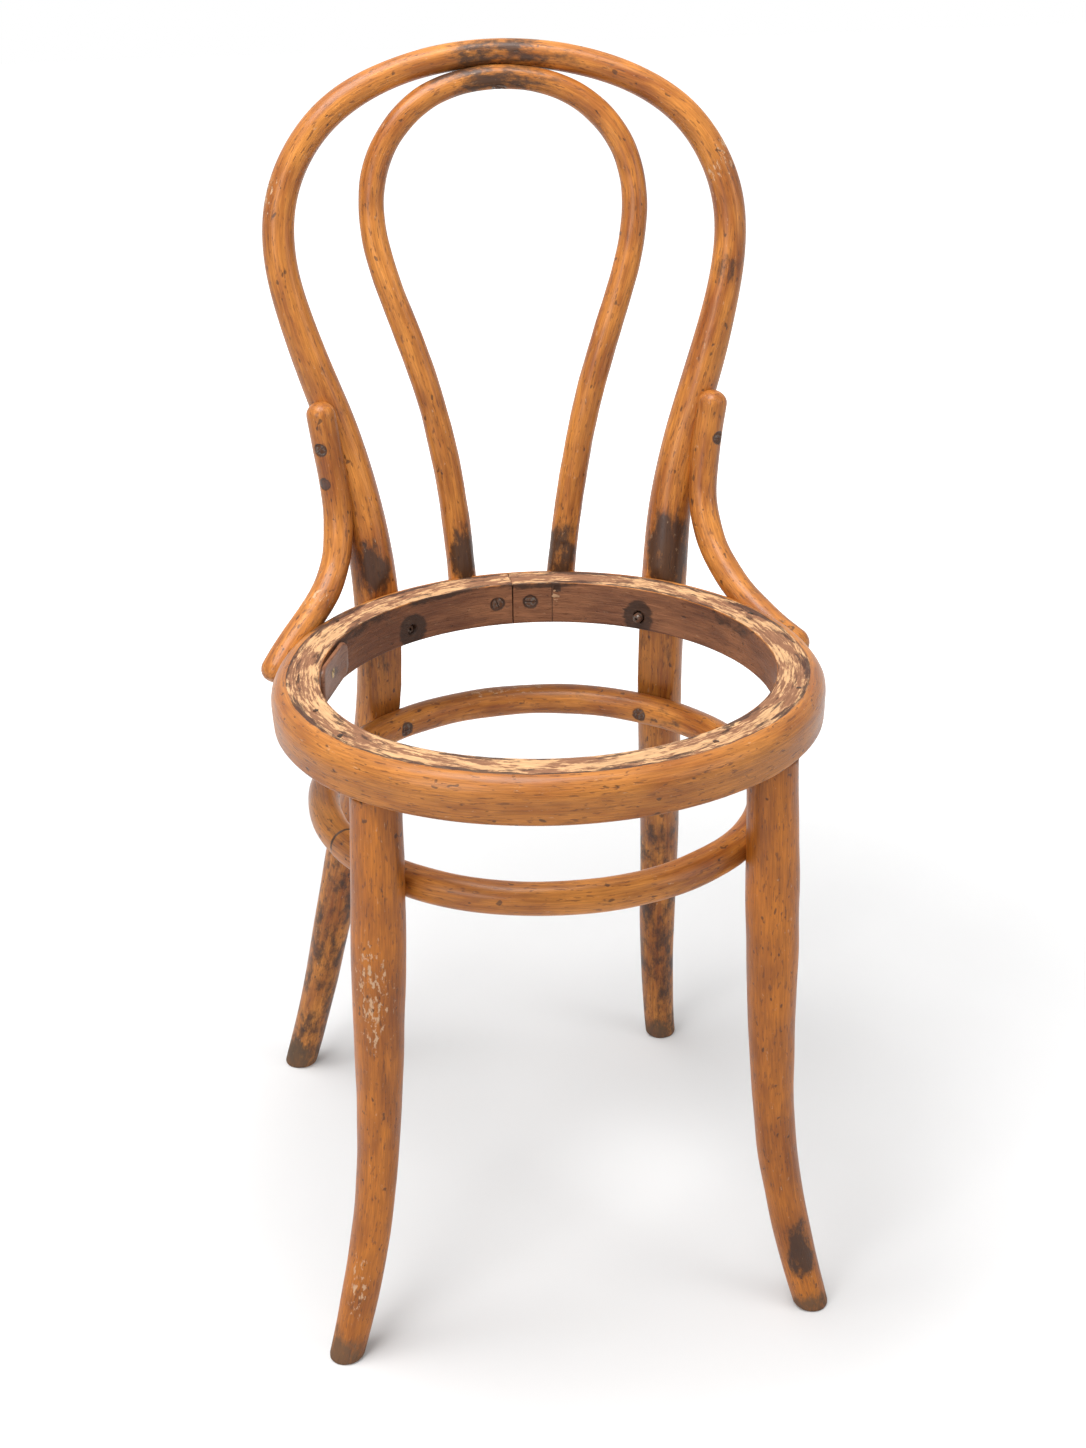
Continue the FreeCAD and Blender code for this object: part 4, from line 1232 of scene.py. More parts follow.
@dataclass
class InnerLoop:
    """Thin loop inside the back bow, its feet planed beside the ring's flat top."""

    half: Sequence[Sequence[float]] = (
        (37.0, 179.0, 464.0, 10.9, 4.1), (42.8, 181.6, 533.0, 10.6, 5.5),
        (51.4, 184.6, 588.8, 10.4, 6.5), (64.4, 189.0, 643.5, 10.2, 6.9),
        (81.8, 196.1, 696.5, 9.9, 7.0), (96.3, 207.4, 749.3, 9.6, 7.0),
        (90.2, 219.4, 803.2, 9.4, 7.4), (54.0, 233.2, 842.0, 9.2, 7.8),
        (0.0, 239.9, 854.0, 8.6, 8.8),
    )
    step: float = 2.0
    sides: int = 44
    foot_screw_height: float = 472.0
    foot_gap: float = 0.4
    foot_flat: float = 30.0
    foot_run_out: float = 6.0

    def __post_init__(self) -> None:
        """Lay the rod's line."""
        self.line = BentLine(mirrored_stations(self.half))

    def foot_screws(self) -> list[Seat]:
        """Middle of the head and direction of the screw behind each foot."""
        found = []
        for side in Side:
            centre, _, radius = self.line.at(np.array([self.line.at_height(self.foot_screw_height, side)]))
            outward = level(centre[0])
            found.append((centre[0] + outward * (radius[0] - SCREW_SINK), -outward))
        return found

    def crown_screw(self, bow: BackBow) -> Seat:
        """Middle of the head and direction of the screw at the crown."""
        centre, _, radius = self.line.at(np.array([self.line.length / 2]))
        upward = unit(bow.line.point(bow.line.nearest(centre[0])) - centre[0])
        return centre[0] - upward * (radius[0] - SCREW_SINK), upward

    def build(self, finishes: Finishes, plan: OvalPlan, bow: BackBow) -> bpy.types.Object:
        """Make the rod with its planed feet and its screws' pits."""
        skin = RodSurface(self.line, BACKWARDS, 3400.0, Unevenness(0.22, 26.0, 90.0, 23))
        length = self.line.length
        marks = spaced(length, self.step, [(8.0, 8.0), (length - 8.0, 8.0), (length / 2, 6.0)], 0.8)
        points, grain = skin.rings(marks, even_turns(self.sides, [0.0], 0.5, 0.07))
        for side in Side:
            foot = self.line.point(self.line.at_height(self.foot_screw_height, side))
            outward = level(foot)
            contact = outward * (plan.reach(outward, RING_FLAT_WIDTH) + self.foot_gap) + UP * SEAT_TOP
            points = Flat(contact, outward, self.foot_flat, self.foot_run_out).plane(points)
        points, dark = sunk(points, screw_pits(self.foot_screws() + [self.crown_screw(bow)]), 2.0)
        stains = [
            Stain(Mark.DARK, (-32, 176, 506), (18, 24, 44), 0.85),
            Stain(Mark.DARK, (43, 172, 506), (18, 24, 40), 0.85),
            Stain(Mark.DARK, (9, 238, 852), (70, 26, 22), 0.7),
            Stain(Mark.DARK, (8, 178, 470), (90, 30, 22), 0.8),
        ]
        shell = closed_tube(points, wood_values(points, grain, stains, dark))
        return make_piece("inner_loop_rod", shell, finishes.bent, ["inner_loop"])


@dataclass
class HipBrace:
    """Short bent rod from the bow down to the side of the ring, with egg-shaped ends."""

    side: Side
    rows: Sequence[Sequence[float]]
    seed: int
    plugged: bool = False
    upper_screw: float = 34.0
    lower_screw: float = 22.0
    plug_place: float = 60.0
    plug_radius: float = 4.1
    plug_depth: float = 0.7
    step: float = 1.6
    sides: int = 64
    rim: float = 1.6

    def __post_init__(self) -> None:
        """Lay the rod's line and its level reference."""
        rows = np.array(self.rows)
        stations = np.column_stack([rows, np.full(len(rows), BRACE_RADIUS)])
        self.line = BentLine(stations, tip=10.0)
        self.reference = unit(np.cross(UP, rows[-1] - rows[0]))

    def screws(self, bow: BackBow) -> list[Seat]:
        """Middle of the head and direction of the upper and the lower screw."""
        start = self.line.point(self.upper_screw)
        upper = unit(bow.line.point(bow.line.nearest(start)) - start)
        end = self.line.point(self.line.length - self.lower_screw)
        lower = -level(end)
        sink = BRACE_RADIUS - SCREW_SINK
        return [(start - upper * sink, upper), (end - lower * sink, lower)]

    def plug(self, bow: BackBow) -> Seat:
        """Surface point and direction of the plugged hole."""
        place = self.line.point(self.plug_place)
        inward = unit(bow.line.point(bow.line.nearest(place)) - place)
        return place - inward * BRACE_RADIUS, inward

    def build(self, finishes: Finishes, bow: BackBow, stains: list[Stain]) -> bpy.types.Object:
        """Make the rod with the pits of its screws and of its plug."""
        name = "brace_" + self.side.label
        skin = RodSurface(self.line, self.reference, 5200.0 + 400.0 * self.seed,
                          Unevenness(0.22, 24.0, 60.0, self.seed))
        length = self.line.length
        fine = [(0.0, 4.0), (length, 4.0), (self.upper_screw, FINE_HALF),
                (length - self.lower_screw, FINE_HALF)]
        marks = spaced(length, self.step, fine, 0.5)
        marks = marks[(marks > 0.05) & (marks < length - 0.05)]
        points, grain = skin.rings(marks, even_turns(self.sides))
        pits = screw_pits(self.screws(bow))
        if self.plugged:
            mouth, inward = self.plug(bow)
            pits.append(Pit(mouth, inward, self.plug_radius, self.plug_depth))
        points, dark = sunk(points, pits, self.rim)
        shell = closed_tube(points, wood_values(points, grain, stains, dark))
        return make_piece(name + "_rod", shell, finishes.bent, [name])


@dataclass
class FrontLeg:
    """Turned front leg, stoutest below the seat, its foot swept out."""

    side: Side
    seed: int
    rows: Sequence[Sequence[float]] = (
        (178.6, -121.6, -10.0, 12.4), (161.3, -115.8, 60.0, 13.7), (150.4, -111.5, 119.0, 14.4),
        (143.9, -109.3, 179.0, 15.1), (140.8, -109.6, 238.0, 16.6), (139.0, -110.7, 298.0, 18.2),
        (137.3, -111.3, 357.0, 18.8), (135.6, -110.8, 417.0, 17.9), (134.6, -110.4, 470.0, 17.2),
    )
    tenon_radius: float = 11.0
    tenon_length: float = 22.0
    rings: int = 236
    sides: int = 60
    creep: float = 4.5
    creep_height: float = 420.0

    def __post_init__(self) -> None:
        """Lay the leg's line, its foot crept round a little."""
        rows = np.array(self.rows)
        sign = self.side.value
        twist = self.creep * np.clip(1.0 - rows[:, 2] / self.creep_height, 0.0, None)
        self.line = BentLine(np.column_stack([sign * rows[:, 0], rows[:, 1] - sign * twist, rows[:, 2:]]))

    def build(self, finishes: Finishes, stains: list[Stain]) -> bpy.types.Object:
        """Make the leg, cut off level under the ring, with its tenon."""
        name = "front_leg_" + self.side.label
        skin = RodSurface(self.line, BACKWARDS, 8000.0 + 900.0 * self.seed,
                          Unevenness(0.25, 36.0, 110.0, self.seed))
        marks = np.linspace(0.0, self.line.length, self.rings)
        turns = even_turns(self.sides)
        points, grain = skin.rings(marks, turns)
        kept = soles_kept(points) & (points[..., 2].min(axis=1) < RING_BOTTOM)
        points = skin.stand(points[kept], marks[kept])
        points[..., 2] = np.minimum(points[..., 2], RING_BOTTOM)
        grain = grain[kept]
        circle = np.stack([-np.sin(turns), np.cos(turns)], axis=-1) * self.tenon_radius
        plan = self.line.stations[-1, :2] + circle
        tenon = [np.column_stack([plan, np.full(len(turns), height)])
                 for height in (RING_BOTTOM, RING_BOTTOM + self.tenon_length)]
        points = np.concatenate([points, np.array(tenon)])
        grain = np.concatenate([grain, np.repeat(grain[-1:], 2, axis=0)])
        shell = closed_tube(points, wood_values(points, grain, stains))
        return make_piece(name + "_turned", shell, finishes.leg, [name])


@dataclass
class LegRing:
    """Round rod bent to a circle inside the four legs, with a long joint on the left."""

    joint_degrees: float = 200.0
    pin_degrees: tuple[float, float] = (193.0, 207.0)

    def screw_seats(self, bow: BackBow, legs: dict[Side, FrontLeg]) -> list[Seat]:
        """Middle of the head and direction of the screw into each leg."""
        found = []
        for side in Side:
            rear = bow.line.point(bow.line.at_height(LEG_RING_CENTRE[2], side))
            stout = np.array([side.value * 137.3, -111.3, LEG_RING_CENTRE[2]])
            front = legs[side].line.point(legs[side].line.nearest(stout))
            for axis in (rear, front):
                outward = level(axis - LEG_RING_CENTRE)
                inside = LEG_RING_RADIUS - LEG_RING_ROD + SCREW_SINK
                found.append((LEG_RING_CENTRE + outward * inside, outward))
        return found

    def pins(self) -> list[Seat]:
        """Surface point and direction of each pin."""
        reach = LEG_RING_RADIUS + LEG_RING_ROD
        return [(LEG_RING_CENTRE + heading(angle) * reach, -heading(angle)) for angle in self.pin_degrees]

    def build(self, finishes: Finishes, bow: BackBow, legs: dict[Side, FrontLeg]) -> bpy.types.Object:
        """Make the ring: a circle carried round a circle, waved a little, with pits and a joint."""
        seats = self.screw_seats(bow, legs)
        length = FULL_TURN * LEG_RING_RADIUS
        start = math.radians(self.joint_degrees)
        fine = []
        for point, _ in seats:
            offset = point - LEG_RING_CENTRE
            turn = (math.atan2(offset[1], offset[0]) - start) % FULL_TURN
            fine.append((turn * LEG_RING_RADIUS, FINE_HALF))
        places = spaced(length, 2.0, fine, 0.6)
        places[0], places[-1] = 0.15, length - 0.15
        turns = even_turns(44, [math.pi], 0.55, 0.07)
        around = start + places / LEG_RING_RADIUS
        out = np.stack([np.cos(around), np.sin(around), np.zeros_like(around)], axis=-1)
        section = np.stack([np.cos(turns), np.sin(turns)], axis=-1) * LEG_RING_ROD
        section = np.broadcast_to(section[None], (len(places), len(turns), 2))
        grain = grain_grid(section, 12000.0 + places)
        swell = 1.0 + Unevenness(0.25, 28.0, 90.0, 41).height(grain) / LEG_RING_ROD
        spread = section * swell[..., None]
        points = LEG_RING_CENTRE + (LEG_RING_RADIUS + spread[..., :1]) * out[:, None] + spread[..., 1:] * UP
        points, dark = sunk(points, screw_pits(seats), 2.6)
        dark[[0, -1]] = 1.0
        stains = [
            Stain(Mark.DARK, (-118, 120, 384), (30, 30, 16), 0.42),
            Stain(Mark.DARK, (120, 122, 384), (30, 30, 16), 0.42),
            Stain(Mark.BARE, (0, 176, 392), (60, 14, 8), 0.25),
        ]
        shell = endless_tube(points, wood_values(points, grain, stains, dark))
        return make_piece("leg_ring_rod", shell, finishes.bent, ["leg_ring"])


@dataclass
class SeatRing:
    """Bent bar of the seat, torn on top, with its opened joint at the back."""

    plan: OvalPlan
    seam_degrees: float = 89.5
    crack_degrees: float = 78.1
    scarf_degrees: tuple[float, float] = (94.0, 84.4)
    scarf_height: float = 475.5
    seam_half: float = 0.45
    seam_depth: float = 2.0
    crack_half: float = 0.3
    crack_depth: float = 0.8
    hole_radius: float = 3.9
    hole_depth: float = 6.0
    hole_reach: float = 9.0
    blot_radius: float = 16.5
    blot_run: float = 7.0
    scarf_pit_radius: float = 4.9

    def scarf_screws(self) -> list[Seat]:
        """Middle of the head and direction of each screw of the joint."""
        found = []
        for angle in self.scarf_degrees:
            outward = heading(angle)
            head = outward * (self.plan.reach(outward) + SCREW_SINK) + UP * self.scarf_height
            found.append((head, outward))
        return found

    @staticmethod
    def section() -> np.ndarray:
        """Outline of the bar as distance from the inner wall and height.

        It runs up the inner wall, round the inner top edge, over the flat, down a quarter
        ellipse and the leaning side, round the lower edge and back along the bottom.
        """
        edge, lower = 1.2, 3.5
        low, high = RING_BOTTOM, SEAT_TOP
        shoulder_height = 15.0
        turns = np.linspace(0.0, math.pi / 2, 6)
        wall = np.stack([np.zeros(34), np.linspace(low + 0.8, high - edge, 34)], axis=-1)
        top_edge = np.stack([edge - edge * np.cos(turns), high - edge + edge * np.sin(turns)], axis=-1)[1:]
        flat = np.stack([np.linspace(edge, RING_FLAT_WIDTH, 34), np.full(34, high)], axis=-1)[1:]
        bends = np.linspace(0.0, math.pi / 2, 20)[1:]
        across = RING_BAR_WIDTH - RING_FLAT_WIDTH
        shoulder = np.stack([RING_FLAT_WIDTH + across * np.sin(bends),
                             high - shoulder_height + shoulder_height * np.cos(bends)], axis=-1)
        side = np.stack([np.linspace(RING_BAR_WIDTH, RING_BAR_WIDTH - 0.8, 12),
                         np.linspace(high - shoulder_height, low + lower, 12)], axis=-1)[1:]
        centre = RING_BAR_WIDTH - 0.8 - lower
        foot = np.stack([centre + lower * np.cos(turns), low + lower - lower * np.sin(turns)], axis=-1)[1:]
        bottom = np.stack([np.linspace(centre, 0.8, 14), np.full(14, low)], axis=-1)[1:]
        return np.concatenate([wall, top_edge, flat, shoulder, side, foot, bottom])

    def columns(self, seats: dict[Side, PostSeat]) -> tuple[np.ndarray, float, float]:
        """Places round the ring, from just past the seam back to it, fine beside holes.

        Returns:
            The places, the seam's own place round the wall, and the crack's among the places.
        """
        seam = self.plan.place_at(self.seam_degrees)
        fine = []
        for point in [seat.hole_mouth for seat in seats.values()] + [head for head, _ in self.scarf_screws()]:
            place = self.plan.place_at(math.degrees(math.atan2(point[1], point[0])))
            fine.append(((place - seam) % self.plan.length, FINE_HALF))
        crack = (self.plan.place_at(self.crack_degrees) - seam) % self.plan.length
        fine.append((crack, 1.5))
        places = spaced(self.plan.length, 1.7, fine, 0.5)
        half = self.seam_half
        inner = places[(places > 1.5) & (places < self.plan.length - 1.5)]
        ends = np.array([half - 0.03, half + 0.03, half + 0.6])
        return np.concatenate([ends, inner, self.plan.length - ends[::-1]]), seam, crack

    def torn(self, points: np.ndarray, grain: np.ndarray, out: np.ndarray,
             on_top: np.ndarray, on_wall: np.ndarray, on_bottom: np.ndarray) -> np.ndarray:
        """Bar with waves outside, rags torn out of its top and planing marks on its inner wall.

        Args:
            points: The bar's grid.
            grain: Its grain coordinates.
            out: Directions square to the wall, one a column of the bar.
            on_top: Mask of the flat top.
            on_wall: Mask of the inner wall.
            on_bottom: Mask of the underside.

        Returns:
            The moved grid.
        """
        across = grain[..., 0]
        outside = (1.0 - on_wall) * (1.0 - on_top) * (1.0 - on_bottom)
        swell = Unevenness(0.22, 40.0, 130.0, 51).height(grain) * outside * ease(across / 20.0)
        rags = np.clip(Unevenness(0.9, 5.5, 38.0, 52, 40).height(grain) - 0.1, 0.0, 1.4)
        rags += np.clip(Unevenness(0.6, 2.6, 15.0, 53, 40).height(grain) - 0.1, 0.0, 0.8)
        depth = rags * on_top * (1.0 - 0.55 * ease((9.0 - across) / 9.0))
        planing = np.abs(Unevenness(0.25, 16.0, 60.0, 54).height(grain) * on_wall)
        return points + (swell + planing)[..., None] * out[:, None] - depth[..., None] * UP

    def fitted(self, points: np.ndarray, dark: np.ndarray,
               seats: dict[Side, PostSeat]) -> tuple[np.ndarray, np.ndarray]:
        """Bar planed for the posts, with bolt holes, blots round them, countersinks and a chip."""
        for seat in seats.values():
            offset = (points - seat.contact) @ seat.outward
            beside = np.abs(np.cross(points - seat.contact, seat.outward)[..., 2])
            cut = np.clip(offset, 0.0, None) * ((beside < FLAT_HALF_WIDTH) & (offset < 20.0))
            points = points - cut[..., None] * seat.outward
            hole = Pit(seat.hole_mouth, seat.outward, self.hole_radius, self.hole_depth)
            around, beyond = hole.distances(points)
            inner = np.abs(beyond) < self.hole_reach
            points = np.where((inner & (beyond < self.hole_depth))[..., None], hole.sink(points), points)
            blot = ease((self.blot_radius - around) / self.blot_run) * inner
            dark = np.maximum(dark, blot * 0.95)
        chip = Pit(np.array([35.0, 147.0, 486.0]), heading(77.0), 2.4, 1.8)
        for pits, rim in ((screw_pits(self.scarf_screws(), self.scarf_pit_radius), 2.2), ([chip], 1.0)):
            points, shade = sunk(points, pits, rim)
            dark = np.maximum(dark, shade)
        return points, dark

    def stains(self) -> list[Stain]:
        """Glue and dirt on the top and the wall, and dark places over the front legs."""
        return [
            Stain(Mark.DARK, (-128, 96, 489), (56, 62, 10), 0.75),
            Stain(Mark.DARK, (-60, 140, 490), (70, 22, 6), 0.8),
            Stain(Mark.DARK, (20, 152, 490), (70, 14, 6), 0.7),
            Stain(Mark.DARK, (-162, 20, 480), (16, 60, 16), 0.4),
            Stain(Mark.DARK, (150, 40, 486), (26, 70, 9), 0.45),
            Stain(Mark.BARE, (34, 152, 480), (5, 12, 12), 0.4),
            Stain(Mark.DARK, (134.6, -110, 458), (24, 24, 7), 0.8),
            Stain(Mark.DARK, (-134.6, -110, 458), (24, 24, 7), 0.8),
        ]

    def build(self, finishes: Finishes, seats: dict[Side, PostSeat]) -> bpy.types.Object:
        """Carry the section round the plan, then tear, groove, plane and drill it."""
        places, seam, crack = self.columns(seats)
        section = self.section()
        wall, out = self.plan.wall(places + seam)
        grid = np.broadcast_to(section[None], (len(places), len(section), 2))
        grain = grain_grid(grid, 16000.0 + places)
        across, height = grid[..., 0], grid[..., 1]
        points = wall[:, None] + across[..., None] * out[:, None] + height[..., None] * UP
        on_top = ease((height - (SEAT_TOP - 0.35)) / 0.3) * ease((RING_FLAT_WIDTH + 1.2 - across) / 1.6)
        on_wall = ease((0.5 - across) / 0.4) * ease((SEAT_TOP - 0.4 - height) / 0.8)
        on_bottom = ease((RING_BOTTOM + 0.4 - height) / 0.4)
        points = self.torn(points, grain, out, on_top, on_wall, on_bottom)
        gap = np.minimum(places, self.plan.length - places)
        opened = (gap < self.seam_half)[:, None] * 1.0
        split = (np.abs(places - crack) < self.crack_half)[:, None] * on_wall
        outwards = opened * on_wall * self.seam_depth + split * self.crack_depth
        points = points + outwards[..., None] * out[:, None]
        points = points - (opened * on_top * self.seam_depth)[..., None] * UP
        dark = np.maximum(opened * (on_wall + on_top) * 1.4, split)
        points, dark = self.fitted(points, dark, seats)
        values = wood_values(points, grain, self.stains(), dark)
        values["across"] = across / RING_FLAT_WIDTH
        values["torn"] = np.clip(on_top * (1.0 - 0.25 * opened), 0.0, 1.0)
        values["inward"] = np.clip(on_wall + on_bottom, 0.0, 1.0)
        shell = endless_tube(points, values)
        return make_piece("seat_ring_bar", shell, finishes.ring, ["seat_ring"])


@dataclass
class MendingPlate:
    """Thin stained plate bent to the ring's inner wall, with one screw."""

    plan: OvalPlan
    degrees: float = 161.0
    half_length: float = 31.0
    half_height: float = 13.5
    corner: float = 9.0
    thickness: float = 2.6

    def screw(self) -> Seat:
        """Middle of the head and direction of the screw."""
        outward = heading(self.degrees)
        return outward * (self.plan.reach(outward) - self.thickness) + UP * RING_MIDDLE, outward

    def build(self, finishes: Finishes) -> bpy.types.Object:
        """Make the plate: rounded rectangles of several sizes laid on the wall at several depths."""
        turns = np.linspace(0.0, FULL_TURN, 72, endpoint=False)
        across = np.sign(np.cos(turns)) * (self.half_length - self.corner) + self.corner * np.cos(turns)
        upward = np.sign(np.sin(turns)) * (self.half_height - self.corner) + self.corner * np.sin(turns)
        rows = np.array([(0.02, 1.0), (0.3, 1.0), (0.6, 1.0), (0.85, 1.0), (0.96, 0.94), (0.985, 0.8),
                         (1.0, 0.5), (1.0, -0.1), (0.5, -0.1), (0.02, -0.1)])
        along = rows[:, :1] * across
        height = rows[:, :1] * upward
        wall, out = self.plan.wall(self.plan.place_at(self.degrees) + along)
        lift = rows[:, 1:] * self.thickness * np.ones_like(along)
        points = wall - lift[..., None] * out + (RING_MIDDLE + height)[..., None] * UP
        grain = np.stack([lift, height, 17500.0 + along], axis=-1)
        head, inward = self.screw()
        shade = Pit(head, inward, 4.6, SCREW_PIT_DEPTH).shade(points, 4.0)
        rubbed = Stain(Mark.BARE, tuple(head + np.array([6.0, -8.0, 6.0])), (12, 12, 9), 0.35)
        shell = closed_tube(points, wood_values(points, grain, [rubbed], 0.5 * shade + 0.2))
        return make_piece("mending_plate", shell, finishes.patch, ["ring_patch"], 40.0)


@dataclass
class Fasteners:
    """Screws, bolts, washers, pins, tacks and the plug, each group one piece."""

    finishes: Finishes
    tacks: Sequence[tuple[float, float]] = (
        (-164.3, 172.8), (-150.0, 178.0), (-60.0, 170.0), (-25.5, 178.7), (20.0, 174.0), (142.0, 175.0),
    )

    def screws(self, node: str, seats: Iterable[Seat], length: float, seed: int,
               material: bpy.types.Material, slot: str) -> None:
        """One piece of slotted screws, their slots turned at random from a seed."""
        rng = np.random.default_rng(seed)
        screws = [slotted_screw(point, direction, length, float(rng.uniform(0.0, 180.0)))
                  for point, direction in seats]
        make_piece(node + "_slotted", joined_all(screws), material, [node], IRON_SHARP)

    def bolts(self, seats: dict[Side, PostSeat]) -> None:
        """Dome-headed bolts and the washers under them."""
        rim, high, bore, bevel = WASHER_RADIUS, WASHER_THICKNESS, 3.8, 0.4
        ring = [(bore, 0.0), (rim - bevel, 0.0), (rim, bevel), (rim, high - bevel), (rim - bevel, high),
                (bore, high)]
        bolts, washers = [], []
        for seat in seats.values():
            under = seat.back + seat.outward * WASHER_THICKNESS
            length = float((under - seat.tip) @ seat.outward)
            swell = np.linspace(0.0, math.pi / 2, 9)[1:]
            dome = [(7.5 * math.sin(turn), -4.5 * math.cos(turn)) for turn in swell]
            shank = [(7.2, 0.15), (3.5, 0.15), (3.5, length - 1.0), (2.6, length - 0.1), (1.2, length - 0.05),
                     (1.1, length - 2.2)]
            bolts.append(turned_shell(dome + shank, under, -seat.outward))
            washers.append(closed_ring(ring, seat.back, seat.outward))
        make_piece("post_bolts_domed", joined_all(bolts), self.finishes.steel, ["post_bolts"],
                   IRON_SHARP)
        self.iron_piece("post_washers_flat", washers, "post_washers")

    def iron_piece(self, name: str, shells: Sequence[Shell], node: str) -> None:
        """One piece of blackened iron."""
        make_piece(name, joined_all(shells), self.finishes.iron, [node], IRON_SHARP)

    def pins(self, seats: list[Seat]) -> None:
        """Iron pins of the leg ring's joint."""
        profile = [(1.2, 0.0), (1.7, 0.3), (1.7, 18.0)]
        pins = [turned_shell(profile, point, direction, 20) for point, direction in seats]
        self.iron_piece("leg_ring_pins_round", pins, "leg_ring_pins")

    def seat_tacks(self) -> None:
        """Tacks of the old panel, hammered flush."""
        profile = [(1.3, -0.15), (2.2, 0.15), (2.2, 0.8), (0.9, 0.9), (0.9, 11.0)]
        tacks = [turned_shell(profile, heading(angle) * distance + UP * SEAT_TOP, -UP, 20)
                 for angle, distance in self.tacks]
        self.iron_piece("seat_tacks_flush", tacks, "seat_tacks")

    def plug(self, seat: Seat) -> None:
        """Wooden plug in the left brace."""
        point, direction = seat
        shell = turned_shell([(1.0, 0.25), (3.2, 0.35), (4.1, 0.8), (4.1, 5.0)], point, direction, 28)
        shell.values = wood_values(shell.points, shell.points + 500.0, [])
        make_piece("brace_plug_wood", shell, self.finishes.plug, ["brace_plug"], 40.0)


def closed_ring(profile: Sequence[tuple[float, float]], point: np.ndarray, direction: np.ndarray,
                sides: int = 40) -> Shell:
    """Ring whose section, as radius and distance along an axis, closes on itself."""
    shell = turned_shell(profile, point, direction, sides)
    count = len(profile) * sides
    return Shell(shell.points[:count], [grid_quads(len(profile), sides, True)])


# Studio

@dataclass(frozen=True)
class Camera:
    """The photograph's viewpoint, in degrees, millimetres and pixels."""

    turn: float = -10.174
    rise: float = 25.086
    distance: float = 1594.5
    target: tuple[float, float, float] = (0.4, 0.0, 449.6)
    roll: float = -0.593
    focal: float = 2243.7
    middle: tuple[float, float] = (547.9, 715.8)
    picture: tuple[int, int] = (1086, 1448)
    sensor: float = 36.0

    def build(self) -> None:
        """Place the camera and make it the scene's own."""
        turn, rise = math.radians(self.turn), math.radians(self.rise)
        back = np.array([math.sin(turn) * math.cos(rise), -math.cos(turn) * math.cos(rise), math.sin(rise)])
        right = unit(np.cross(UP, back))
        up = np.cross(back, right)
        roll = math.radians(self.roll)
        tilted_right = math.cos(roll) * right + math.sin(roll) * up
        tilted_up = math.cos(roll) * up - math.sin(roll) * right
        place = (np.array(self.target) + CHAIR_SHIFT + back * self.distance) * MM
        data = bpy.data.cameras.new("photo_camera")
        width, height = self.picture
        data.sensor_fit = "AUTO"
        data.sensor_width = self.sensor
        data.lens = self.focal / height * self.sensor
        data.shift_x = (width / 2 - self.middle[0]) / height
        data.shift_y = (self.middle[1] - height / 2) / height
        data.clip_end = 50.0
        camera = bpy.data.objects.new("photo_camera", data)
        camera.matrix_world = placed([tilted_right, tilted_up, back], place)
        bpy.context.scene.collection.objects.link(camera)
        bpy.context.scene.camera = camera


@dataclass(frozen=True)
class Lamp:
    """A soft square lamp that faces the seat."""

    name: str
    place: tuple[float, float, float]
    size: float
    power: float
    aim_height: float = 0.45

    def build(self) -> None:
        """Hang the lamp and turn it to the seat."""
        data = bpy.data.lights.new(self.name, "AREA")
        data.shape = "SQUARE"
        data.size = self.size
        data.energy = self.power
        lamp = bpy.data.objects.new(self.name, data)
        back = unit(np.array(self.place) - UP * self.aim_height)
        right, upward = square_to(back, 0.99)
        lamp.matrix_world = placed([right, upward, back], self.place)
        bpy.context.scene.collection.objects.link(lamp)


